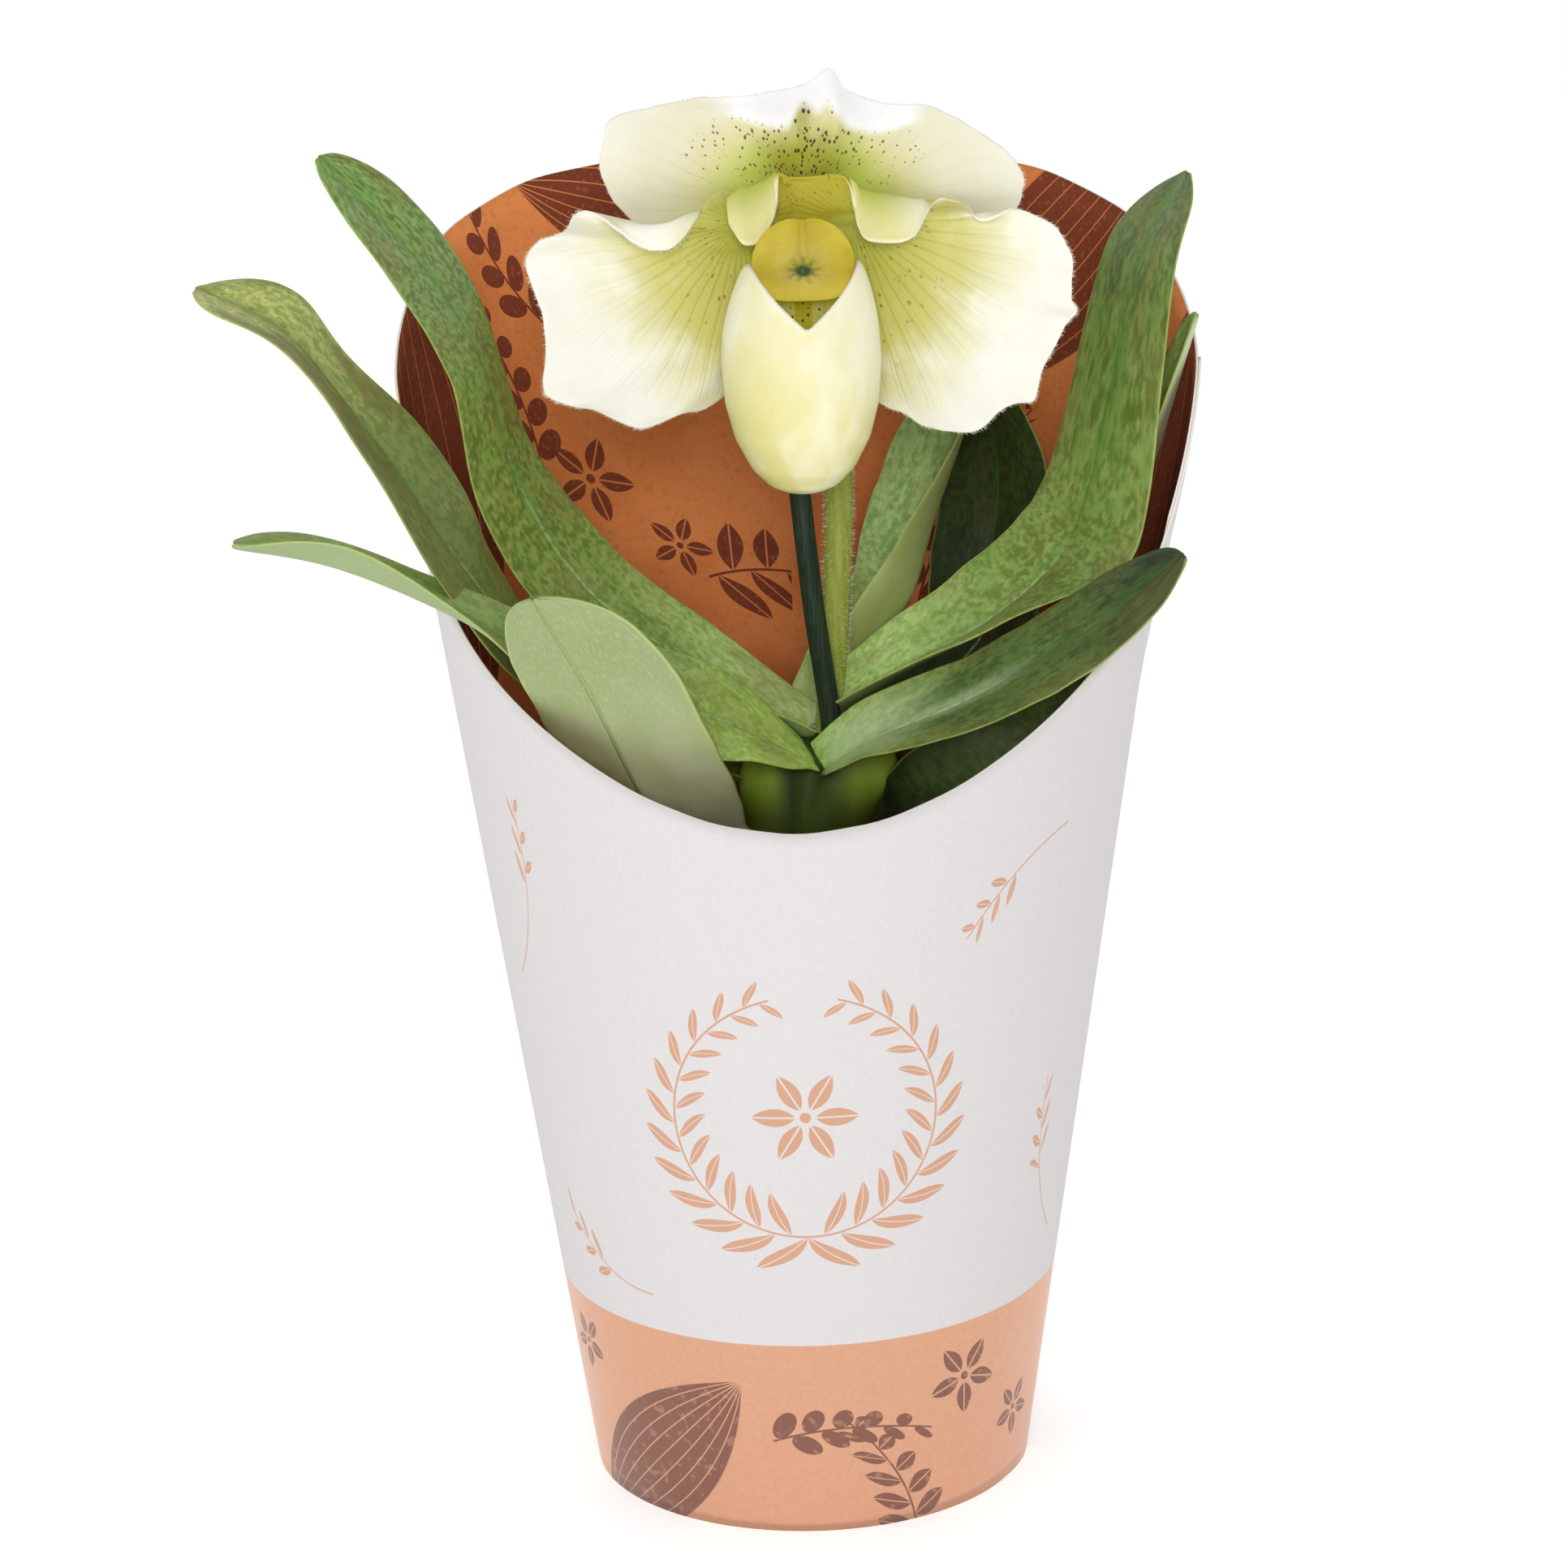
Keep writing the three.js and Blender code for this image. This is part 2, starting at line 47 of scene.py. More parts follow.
def sum_by(operation, turned_round=False):
    """One operator of Signal: the Math node that works it out."""
    if turned_round:
        return lambda signal, other: signal.finish.maths(operation, other, signal)
    return lambda signal, *others: signal.finish.maths(operation, signal, *others)


class Signal:
    """A value or colour inside a material. Sums on it are worked out by Math nodes."""

    def __init__(self, finish, socket):
        self.finish = finish
        self.socket = socket

    __add__ = __radd__ = sum_by("ADD")
    __mul__ = __rmul__ = sum_by("MULTIPLY")
    __sub__, __rsub__ = sum_by("SUBTRACT"), sum_by("SUBTRACT", turned_round=True)
    __truediv__, __mod__ = sum_by("DIVIDE"), sum_by("FLOORED_MODULO")
    __pow__, __abs__, __or__ = sum_by("POWER"), sum_by("ABSOLUTE"), sum_by("MAXIMUM")

    def over(self, low, high):
        """0 up to low, 1 from high on, and a soft step between them."""
        return self.finish.node("ShaderNodeMapRange", {"interpolation_type": "SMOOTHSTEP"},
                                {"Value": self, "From Min": low, "From Max": high})


class Finish:
    """A material. Its fixed values sit on the shader, and its patterns are Signals."""

    def __init__(self, name, fixed):
        self.material = bpy.data.materials.new(name)
        self.material.use_nodes = True
        self.tree = self.material.node_tree
        self.shader = self.tree.nodes["Principled BSDF"]
        for key, value in fixed.items():
            self.shader.inputs[key].default_value = value
        self.place = self.node("ShaderNodeTexCoord", output="Object")
        self.sheet = self.node("ShaderNodeTexCoord", output="UV")

    def node(self, kind, settings=(), inputs=(), output=0):
        made = self.tree.nodes.new(kind)
        for key, value in dict(settings).items():
            setattr(made, key, value)
        for key, value in dict(inputs).items():
            if isinstance(value, Signal):
                self.tree.links.new(value.socket, made.inputs[key])
            else:
                made.inputs[key].default_value = value
        return Signal(self, made.outputs[output])

    def maths(self, operation, *values):
        return self.node("ShaderNodeMath", {"operation": operation}, dict(enumerate(values)))

    def split(self, vector):
        return [self.node("ShaderNodeSeparateXYZ", inputs={0: vector}, output=axis) for axis in range(3)]

    def joined(self, x, y, z=0.0):
        return self.node("ShaderNodeCombineXYZ", inputs={0: x, 1: y, 2: z})

    def stretched(self, vector, scale):
        return self.node("ShaderNodeVectorMath", {"operation": "MULTIPLY"}, {0: vector, 1: scale})

    def noise(self, vector, scale, detail=2.0, roughness=0.5):
        return self.node("ShaderNodeTexNoise", inputs={"Vector": vector, "Scale": scale, "Detail": detail,
                                                       "Roughness": roughness})

    def cells(self, vector, scale, output="Distance"):
        return self.node("ShaderNodeTexVoronoi", inputs={"Vector": vector, "Scale": scale}, output=output)

    def mix(self, share, first, second):
        """A blend of two colours. A plain colour is given as it looks on a screen, from 0 to 255."""
        first, second = (colour if isinstance(colour, Signal) else tint(*colour) for colour in (first, second))
        return self.node("ShaderNodeMix", {"data_type": "RGBA"}, {0: share, 6: first, 7: second}, output=2)

    def coats(self, body, *layers):
        """Lays coats over a body colour. Each is a pair of how much it covers and its colour."""
        for share, colour in layers:
            body = self.mix(share, body, colour)
        return body

    def dots(self, vector, scale, growth, edge, bare, swell=0.0):
        """Soft dots of many sizes, one to a cell. bare is the share of the cells that have none."""
        chance, size, _ = self.split(self.cells(vector, scale, output="Color"))
        return (self.cells(vector, scale) - size * growth - swell).over(*edge) * chance.over(bare, bare + 0.02)

    def relief(self, height, depth, strength=1.0):
        """Bump of a height signal whose full range stands for depth, in metres."""
        self.shown("Normal", self.node("ShaderNodeBump", inputs={"Height": height, "Distance": depth,
                                                                 "Strength": strength}))

    def shown(self, key, signal):
        self.tree.links.new(signal.socket, self.shader.inputs[key])


def tint(*screen_values):
    """The shader's colour for a colour as it looks on a screen."""
    shares = [value / 255 for value in screen_values]
    return (*(share / 12.92 if share <= 0.04045 else ((share + 0.055) / 1.055) ** 2.4 for share in shares), 1.0)


def coated(node, finish):
    """Puts a finish on a CAD node that is shown as it is."""
    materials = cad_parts[node].data.materials
    materials.clear()
    materials.append(finish.material)


pot_plastic = Finish("pot_plastic", {"Roughness": 0.5, "Specular IOR Level": 0.4})
speckle = pot_plastic.noise(pot_plastic.place, 900, detail=3)
scuffs = pot_plastic.noise(pot_plastic.stretched(pot_plastic.place, (1, 1, 0.25)), 120, detail=4)
pot_plastic.shown("Base Color", pot_plastic.mix(scuffs.over(0.42, 0.7), (44, 36, 31), (74, 63, 55)))
pot_plastic.shown("Roughness", scuffs * 0.3 + 0.38)
pot_plastic.relief(speckle, 0.0001, 0.5)
coated("nursery_pot", pot_plastic)


# ---------------------------------------------------------------- potting bark
# Orchids grow in chips of fir bark. The body of the bark keeps its CAD shape, and loose chips lie on
# top of it, each a split, rough-edged flake with a lighter torn face.

MM = 0.001  # meshes are in metres, and the sizes in this file in millimetres
BARK_TOP = 92
CHIP_FIELD_RADIUS = 49
CHIP_COUNT = 230


def placed(name, data):
    made = bpy.data.objects.new(name, data)
    bpy.context.scene.collection.objects.link(made)
    return made


def mesh_data(name, mesh, finishes):
    data = bpy.data.meshes.new(name)
    mesh.to_mesh(data)
    mesh.free()
    for finish in finishes:
        data.materials.append(finish.material)
    return data


def piece_from(name, mesh, finishes, slot, *nodes):
    """Makes a finished bmesh into an object on the plant's one body, and hides the nodes it stands for."""
    piece = placed(name, mesh_data(name, mesh, finishes))
    for polygon in piece.data.polygons:
        polygon.use_smooth = True
    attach(piece, "root")
    if nodes:
        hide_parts(*nodes)
    return piece


def chip_of_bark(mesh, draw, centre, size):
    start = len(mesh.verts)
    spin = Matrix.Rotation(draw.uniform(0, 2 * math.pi), 4, "Z")
    tip = Matrix.Rotation(draw.gauss(0, 0.45), 4, "X") @ Matrix.Rotation(draw.gauss(0, 0.35), 4, "Y")
    scale = Matrix.Diagonal((size, size * draw.uniform(0.45, 0.9), size * draw.uniform(0.16, 0.34), 1))
    made = bmesh.ops.create_cube(mesh, size=1, matrix=Matrix.Translation(centre) @ spin @ tip @ scale)
    edges = list({edge for vert in made["verts"] for edge in vert.link_edges})
    bmesh.ops.bevel(mesh, geom=edges, offset=size * 0.09, affect="EDGES", segments=1, profile=0.5, material=-1)
    mesh.verts.ensure_lookup_table()
    for vert in mesh.verts[start:]:
        shake = noise.noise_vector(vert.co * 420 + Vector((0, 0, start)))
        vert.co += shake * size * 0.16


noise.seed_set(11)  # noise_vector would start elsewhere in each run without it
draw = Random(11)
chips = bmesh.new()
for _ in range(CHIP_COUNT):
    reach = CHIP_FIELD_RADIUS * math.sqrt(draw.random())
    turn = draw.uniform(0, 2 * math.pi)
    centre = Vector((reach * math.cos(turn), reach * math.sin(turn), BARK_TOP + draw.uniform(-0.5, 2.5))) * MM
    chip_of_bark(chips, draw, centre, draw.uniform(7, 15) * MM)
bark = Finish("bark", {"Roughness": 0.9, "Specular IOR Level": 0.2})
grain = bark.noise(bark.stretched(bark.place, (1, 1, 3)), 260, detail=5, roughness=0.65)
patch = bark.noise(bark.place, 70, detail=2)
bark.shown("Base Color", bark.coats(
    (58, 36, 22), (grain.over(0.35, 0.7), (132, 90, 56)), (patch.over(0.45, 0.62), (84, 50, 30))))
bark.relief(grain, 0.0006)
coated("potting_bark", bark)
piece_from("bark_chips", chips, [bark], "bark")


# ---------------------------------------------------------------- support cane
# A split cane, dyed dark green, holds the flower stem up. Its sides are a little flat and its fibres
# run along it, with one low ring at a joint of the cane.

CANE_ROUTE = [(14.5, 5, 22), (13, 3.6, 92), (10.2, 0, 128), (7.2, -4, 161), (4.2, -5.6, 185),
              (2.2, -6.6, 206), (0.8, -7, 222), (-0.4, -7, 238)]
CANE_RADIUS = 2.2
CANE_JOINT = 0.42  # where its ring is, as a share of its length
SAME_PLACE = 0.002 * MM  # corners closer than this are one corner


def course(points, share):
    """The point at a share of a smooth line through evenly spaced points of any number of values."""
    last = len(points) - 1
    at = min(max(share, 0), 1) * last
    index = min(int(at), last - 1)
    t = at - index

    def value(i, axis):
        if i < 0:
            return 2 * points[0][axis] - points[1][axis]
        if i > last:
            return 2 * points[last][axis] - points[last - 1][axis]
        return points[i][axis]

    made = []
    for axis in range(len(points[0])):
        before, low, high, after = (value(index + step, axis) for step in (-1, 0, 1, 2))
        made.append(0.5 * (2 * low + (high - before) * t + (2 * before - 5 * low + 4 * high - after) * t ** 2
                           + (3 * low - before - 3 * high + after) * t ** 3))
    return made


def heading(points, share, reach=0.004):
    ahead = Vector(course(points, min(share + reach, 1))[:3]) - Vector(course(points, max(share - reach, 0))[:3])
    return ahead.normalized()


def sheet_mesh(across, along):
    """A grid whose x runs from -1 to 1 and whose y runs from 0 to 1, with a UV map of the same."""
    mesh = bmesh.new()
    mesh.loops.layers.uv.new("UVMap")
    bmesh.ops.create_grid(mesh, x_segments=across, y_segments=along, size=1, calc_uvs=True)
    for vert in mesh.verts:
        vert.co.y = (vert.co.y + 1) / 2
    return mesh


def closed_round(mesh):
    """Joins the two long sides of a rolled-up grid, closes its ends and turns its faces outwards."""
    bmesh.ops.remove_doubles(mesh, verts=mesh.verts, dist=SAME_PLACE)
    bmesh.ops.holes_fill(mesh, edges=mesh.edges, sides=0)
    bmesh.ops.recalc_face_normals(mesh, faces=mesh.faces)


def out_of(route, share, turn):
    """The direction straight out of a round bar, at a turn round it."""
    ahead = heading(route, share)
    side = (Vector((1, 0, 0)) - ahead * ahead.x).normalized()
    return side * math.cos(turn) + ahead.cross(side) * math.sin(turn)


def bar(route, radius, around, along):
    """A closed round bar along a route. radius() takes the share of the length and the turn round it."""
    mesh = sheet_mesh(around, along)
    for vert in mesh.verts:
        turn, share = math.pi * vert.co.x, vert.co.y
        vert.co = (Vector(course(route, share)) + out_of(route, share, turn) * radius(share, turn)) * MM
    closed_round(mesh)
    return mesh


def cane_radius(share, turn):
    ring = 0.22 * math.exp(-((share - CANE_JOINT) / 0.006) ** 2)
    fibre = 0.05 * noise.noise(Vector((math.cos(turn) * 4, math.sin(turn) * 4, share * 3)))
    return CANE_RADIUS * (0.95 + 0.03 * math.cos(4 * turn)) + ring + fibre


cane = Finish("cane", {"Roughness": 0.6, "Specular IOR Level": 0.35})
fibres = cane.noise(cane.stretched(cane.place, (1, 1, 0.03)), 2600, detail=3)
worn = cane.noise(cane.stretched(cane.place, (1, 1, 0.3)), 180, detail=3)
cane.shown("Base Color", cane.coats(
    (20, 33, 24), (fibres.over(0.3, 0.7), (46, 62, 44)), (worn.over(0.55, 0.75) * 0.4, (66, 74, 52))))
cane.relief(fibres, 0.00015)
piece_from("cane", bar(CANE_ROUTE, cane_radius, around=32, along=160), [cane], "cane", "support_cane")


# ---------------------------------------------------------------- growths
# The plant has two growths. Each is a short stem hidden by the folded feet of its leaves, which clasp
# one another in a flat fan. Each foot shows as a fold that runs down beside the keel of the next.

# Height, x, y, half-width and half-depth of the level sections.
GROWTHS = {
    "growth_front": [(92.3, -1, 1, 9, 8), (112, -1, 1, 9.5, 8), (128, 0, 0, 11.5, 8.5), (140, 2, -1, 13.5, 8.5),
                     (148, 4, -1, 16, 8), (153, 5, 0, 15, 7.5), (157, 5, 1, 10, 6)],
    "growth_rear": [(92.3, 15, 24, 8, 7), (115, 15, 24, 8.5, 7.5), (136, 14, 22.5, 9, 7), (148, 13, 20.5, 8, 6),
                    (152, 13, 20, 5, 4)],
}
GROWTH_AROUND, GROWTH_UP = 96, 60
DOME_FROM = 0.86  # the share of the height from which the top rounds off


def sheathed(sections):
    mesh = sheet_mesh(GROWTH_AROUND, GROWTH_UP)
    for vert in mesh.verts:
        turn, share = math.pi * vert.co.x, vert.co.y
        height, x, y, wide, deep = course(sections, share)
        fold = 2.6 * math.exp(-((turn + 0.12) / 0.22) ** 2) * share
        swell = 1 + 0.02 * noise.noise(Vector((math.cos(turn), math.sin(turn), height / 9)))
        dome = math.sqrt(max(1 - max((share - DOME_FROM) / (1 - DOME_FROM), 0) ** 2, 0.0004))
        vert.co = Vector((x + (wide * swell * dome - fold) * math.sin(turn),
                          y - (deep * swell * dome - fold) * math.cos(turn), height)) * MM
    closed_round(mesh)
    return mesh


growth = Finish("growth", {"Roughness": 0.6, "Specular IOR Level": 0.25, "Subsurface Weight": 0.1,
                           "Subsurface Scale": 0.003})
x, _, z = growth.split(growth.place)
side, level = x / MM, z / MM
streaks = growth.noise(growth.stretched(growth.place, (1, 1, 0.15)), 300, detail=2)
# Painted shade: the middle of the front, between its two folds, is painted dark green as shade, and the sheaths are
# painted darker from 152 mm down, as shade deeper in the sleeve.
shaded = side.over(-6, -1) * side.over(13, 6)
fresh = growth.coats(
    (128, 158, 44),
    (streaks.over(0.3, 0.7), (146, 174, 62)),
    (level.over(152, 140), (74, 84, 20)),
    (shaded, growth.mix(streaks.over(0.3, 0.7), (44, 60, 10), (62, 82, 20))))
growth.shown("Base Color", growth.mix(level.over(105, 135), (122, 104, 70), fresh))
growth.relief(streaks, 0.0001, 0.5)
for name, sections in GROWTHS.items():
    piece_from(name + "_sheaths", sheathed(sections), [growth], "growth", name)


# ---------------------------------------------------------------- leaves
# Nine strap leaves, thick and leathery, each folded along its keel. The upper side is mottled in two
# greens, streaked along the blade, and the underside is pale and matt. A thin yellow edge runs round.

# bearing, fold and roll are in degrees. A waist is where it sits, how deep it is and how far it spreads. A swell
# is the side it is on, where it sits, how much wider the blade is there and how far it spreads. The foot, middle
# and tip have a darker and a lighter green each.
LEAVES = {
    # leaf_right_low: its foot is painted pale, its painted_sheen and keel colour paint a silvery highlight near the
    # foot and along the keel, and its tip is painted near black green as shade.
    "leaf_right_low": dict(bearing=-20, width=26.5, fold=[46, 14, 4, 9], roll=[37, 24, 30, 30],
        spine=[(6, -7, 151), (17, -16, 161), (32, -25, 170), (47, -31, 180), (63, -37, 192), (77, -38, 204)],
        swell=(-1, 0, -0.75, 0.05),
        painted_sheen=0.9, foot=((150, 190, 80), (200, 226, 132)), middle=((66, 94, 36), (98, 126, 62)), lush=(62, 102, 36),
        tip=((16, 32, 4), (38, 58, 18)), under=(140, 170, 84), keel=(198, 216, 176)),
    "leaf_left_low": dict(bearing=185, width=26,
        fold=[12, 14, 16, 18, 18, 26, 18], roll=[-2, -30, -50, -36, -5, 13, -6],
        spine=[(4, -7, 152), (-11, -15, 163.2), (-25, -24, 171.4), (-47, -33, 181.7), (-65, -42, 196.3),
               (-88, -46, 208.3), (-109, -42, 212)],
        waist=(0.62, 0.32, 0.24), swell=(1, 0, -0.75, 0.05),
        foot=((172, 206, 90), (210, 234, 130)), middle=((122, 150, 74), (160, 180, 108)),
        tip=((120, 144, 72), (156, 176, 102)), under=(152, 168, 120)),
    "leaf_right_high": dict(bearing=10, width=28.5, fold=[52, 34, 0, 8], roll=[14, 18, 25, 6],
        spine=[(8, 2, 161), (23, -1, 171), (40, -2, 181), (54, 1, 193), (61, 2, 209), (71, 4, 253), (81, 10, 270)],
        swell=(-1, 0.57, 0.42, 0.15), foot=((154, 190, 92), (194, 218, 136)), middle=((100, 126, 48), (146, 168, 88)),
        tip=((56, 80, 26), (94, 120, 52)), under=(150, 170, 108)),
    "leaf_left_high": dict(bearing=170, width=27, fold=[56, 4, -6, 16], roll=[-12, -30, -8, -28],
        spine=[(2, 3, 155), (-20, 2, 171), (-41, 0, 188), (-55, 0, 211), (-62, 4, 236), (-73, 9, 254),
               (-93, 11, 277)],
        foot=((156, 180, 92), (190, 210, 132)), middle=((96, 118, 42), (146, 164, 76)),
        tip=((88, 118, 50), (146, 174, 98)), under=(160, 176, 120)),
    # leaf_front shows its pale underside, painted lighter at its foot and darker towards its tip: painted light and
    # painted shade.
    "leaf_front": dict(bearing=223, width=31, fold=[40, 14, 6], roll=[4, 24, 26],
        spine=[(-6, -4, 126), (-24, -19, 139), (-31, -39.4, 158.8), (-40, -54, 184.3), (-50, -65, 206.3)],
        swell=(1, 0.5, 0.2, 9),
        foot=((146, 172, 86), (182, 204, 126)), middle=((98, 124, 56), (130, 152, 82)),
        tip=((96, 120, 56), (126, 148, 84)), under=(226, 236, 194), under_tip=(126, 140, 86)),
    "leaf_behind_stem": dict(bearing=50, width=28, fold=[58, 68, 43, 18], roll=[-3, -26, -18, -23],
        spine=[(3, 10, 155), (13, 18, 167), (24, 27, 178), (29, 35, 192), (35, 42, 208), (40, 47, 225)],
        foot=((158, 184, 92), (186, 206, 126)), middle=((124, 154, 80), (168, 192, 122)), lush=(108, 158, 74),
        tip=((118, 148, 76), (158, 184, 114)), under=(196, 210, 132)),
    # leaf_back is dark green, painted darker still as shade deep inside the sleeve.
    "leaf_back": dict(bearing=70, width=27, fold=[50, 25, 11, 5], roll=[2, -2, -12, -21],
        spine=[(12, 20, 149), (28, 26, 158), (40, 34, 168), (42, 42, 183), (44, 48, 199), (41, 50, 219)],
        foot=((56, 76, 24), (74, 96, 38)), middle=((28, 42, 10), (40, 58, 18)), lush=(42, 68, 24),
        olive=0.1, fibre=0.5, tip=((42, 62, 22), (62, 84, 38)), under=(140, 160, 100)),
    # leaf_right_edge's lower blade is widened by its waist and painted near black: a sheet and painted shade that
    # fill the shadow under leaf_right_low inside the sleeve.
    "leaf_right_edge": dict(bearing=12, width=16.5,
        fold=[50, 26, 16, 20, 19, 20, 22], roll=[-8, 50, 60, 14, -20, -12, 1],
        spine=[(8, -3, 129), (29, -10, 139), (49, -9, 154), (62, 0, 173), (69, 5, 197), (75, 3, 219), (82, 2, 243)],
        waist=(0.18, -1.75, 0.2), foot=((8, 14, 2), (14, 22, 4)), middle=((74, 102, 40), (106, 134, 62)),
        lush=(52, 80, 28), olive=0.1, fibre=0.3, tip=((136, 160, 84), (166, 186, 112)), under=(188, 198, 156)),
    # The dark foot of leaf_left_far is painted shade in front of the growth.
    "leaf_left_far": dict(bearing=185, width=26.5, fold=[46, 0, 18, 15], roll=[-3, -17, -25, -19],
        olive=0.6, lush=(92, 122, 50), waist=(0.77, 0.34, 0.07),
        spine=[(-4, 10, 139), (-31, -7, 160), (-52, -18, 181), (-66, -28, 203), (-81, -20, 224), (-99, -16, 247),
               (-117, -8, 255)],
        foot=((78, 88, 36), (98, 110, 52)), middle=((98, 112, 50), (124, 138, 72)),
        tip=((154, 174, 84), (214, 214, 136)), under=(158, 172, 112)),
}
BLADE_THICKNESS = 1.5
# As shares: the width at the foot, the place where the blade is full, and where its tip starts to round off.
FOOT_WIDTH, FULL_FROM, ROUNDED_FROM = 0.55, 0.55, 0.7
BLADE_ACROSS, BLADE_ALONG = 20, 84
TOWARDS_TIP = 1.5  # above 1, it sets the rows of a blade closer towards its tip


def blade_half_width(leaf, share):
    """The blade starts at about half its width, is full half way up and rounds off to its tip."""
    grown = FOOT_WIDTH + (1 - FOOT_WIDTH) * math.sin(math.pi / 2 * min(share / FULL_FROM, 1))
    to_tip = min(max((share - ROUNDED_FROM) / (1 - ROUNDED_FROM), 0), 1)
    at, depth, spread = leaf.get("waist", (0, 0, 1))
    waist = 1 - depth * math.exp(-((share - at) / spread) ** 2)
    return leaf["width"] / 2 * grown * waist * math.sqrt(max(1 - to_tip ** 2.4, 0.0009))


def blade_frame(leaf, share):
    """The keel's point, and the directions across the blade and up from it."""
    bearing = math.radians(leaf["bearing"])
    ahead = heading(leaf["spine"], share)
    sideways = Vector((-math.sin(bearing), math.cos(bearing), 0))
    across = (sideways - ahead * sideways.dot(ahead)).normalized()
    roll = math.radians(course([(value,) for value in leaf["roll"]], share)[0])
    across = Matrix.Rotation(roll, 3, ahead) @ across
    return Vector(course(leaf["spine"], share)), across, ahead.cross(across)


def blade_mesh(leaf, seed):
    mesh = sheet_mesh(BLADE_ACROSS, BLADE_ALONG)
    for vert in mesh.verts:
        side = vert.co.x
        share = 1 - (1 - vert.co.y) ** TOWARDS_TIP
        keel, across, up = blade_frame(leaf, share)
        fold = math.radians(course([(value,) for value in leaf["fold"]], share)[0])
        half = blade_half_width(leaf, share)
        swollen_side, at, swell, spread = leaf.get("swell", (1, 0, 0, 1))
        if side * swollen_side > 0:
            half *= 1 + swell * math.exp(-((share - at) / spread) ** 2)
        lift = half * (math.hypot(side, 0.06) - 0.06) * math.sin(fold)
        groove = -0.35 * math.exp(-(side / 0.07) ** 2) * (1 - share ** 6)
        wave = 0.55 * noise.noise(Vector((side * 1.1, share * 7, seed))) * side
        ripple = 0.12 * noise.noise(Vector((side * 7, share * 22, seed + 5)))
        edge = 0.35 * noise.noise(Vector((share * 16, seed, side))) * side
        vert.co = (keel + across * (half * side * math.cos(fold) + edge) + up * (lift + groove + wave + ripple)) * MM
    bmesh.ops.reverse_faces(mesh, faces=mesh.faces)
    return mesh


def blade_coordinates(finish, leaf, length):
    """The distance from the keel and from the foot as shares, and the places across and along in millimetres."""
    u, v, _ = finish.split(finish.sheet)
    share = 1 - (1 - v) ** TOWARDS_TIP
    return abs(u * 2 - 1), share, (u - 0.5) * leaf["width"], share * length


def leaf_finish(name, leaf, length):
    """The upper side: soft blotches of two greens, longer than wide, with olive clouds, fine fibres and a painted
    sheen near the foot and along the keel.
    """
    top = Finish(name + "_upper", {"Specular IOR Level": 0.32, "Coat Weight": 0.06, "Coat Roughness": 0.3})
    from_keel, share, across, along = blade_coordinates(top, leaf, length)
    seed = leaf["bearing"] * 0.37
    fleck = top.noise(top.joined(across * 0.8, along * 0.55, seed), 1.0, detail=3)
    patch = top.noise(top.joined(across * 0.32, along * 0.18, seed), 1.0, detail=2)
    cloud = top.noise(top.joined(across * 0.14, along * 0.045, seed), 1.0, detail=1)
    fibre = top.noise(top.joined(across * 4, along * 0.25, seed), 1.0, detail=2)
    light = (fleck * 0.65 + patch * 0.35).over(0.39, 0.6)
    foot, middle, tip = (top.mix(light, *leaf[zone]) for zone in ("foot", "middle", "tip"))
    drifting = share + (cloud - 0.5) * 0.3
    body = top.mix(drifting.over(0.62, 0.98), top.mix(drifting.over(0.08, 0.44), foot, middle), tip)
    lush_green = leaf.get("lush", (88, 142, 50))
    lush = (patch * 0.6 + cloud * 0.4).over(0.47, 0.6) * (share * 0.5 + 0.5)
    # Painted highlight: a pale sheen near the foot and along the keel, as strong as a leaf's painted_sheen, and a
    # thin pale line on the keel itself in the colour keel.
    painted_sheen = from_keel.over(1.2, 0.3) * share.over(0.42, 0.14) | from_keel.over(0.32, 0.0) * share.over(0.68, 0.4)
    painted_sheen = painted_sheen * share.over(0, 0.06) * (fleck * 0.6 + 0.5)
    painted_keel_sheen = from_keel.over(0.05, 0.0) * share.over(0.62, 0.4) * fleck.over(0.3, 0.6)
    groove = from_keel.over(0.04, 0.0) * share.over(0.4, 0.6) * share.over(1.0, 0.85)
    top.shown("Base Color", top.coats(
        body,
        (lush * 0.42, lush_green),
        (cloud.over(0.5, 0.34) * leaf.get("olive", 0.35), (116, 108, 50)),
        (fibre.over(0.5, 0.8) * 0.2 * leaf.get("fibre", 1), (172, 184, 128)),
        (fibre.over(0.48, 0.2) * 0.25, (54, 76, 26)),
        (painted_sheen * leaf.get("painted_sheen", 0), (198, 218, 172)),
        (from_keel.over(0.22, 0.04) * 0.3, lush_green),
        (groove * 0.5, (66, 98, 40)),
        (painted_keel_sheen * 0.7, leaf.get("keel", (188, 206, 160))),
        (from_keel.over(0.97, 0.992) * 0.5, (172, 186, 98))))
    top.shown("Roughness", fleck * 0.16 + 0.42)
    top.relief(fleck * 0.5 + patch * 0.5, 0.00022, 0.7)
    return top


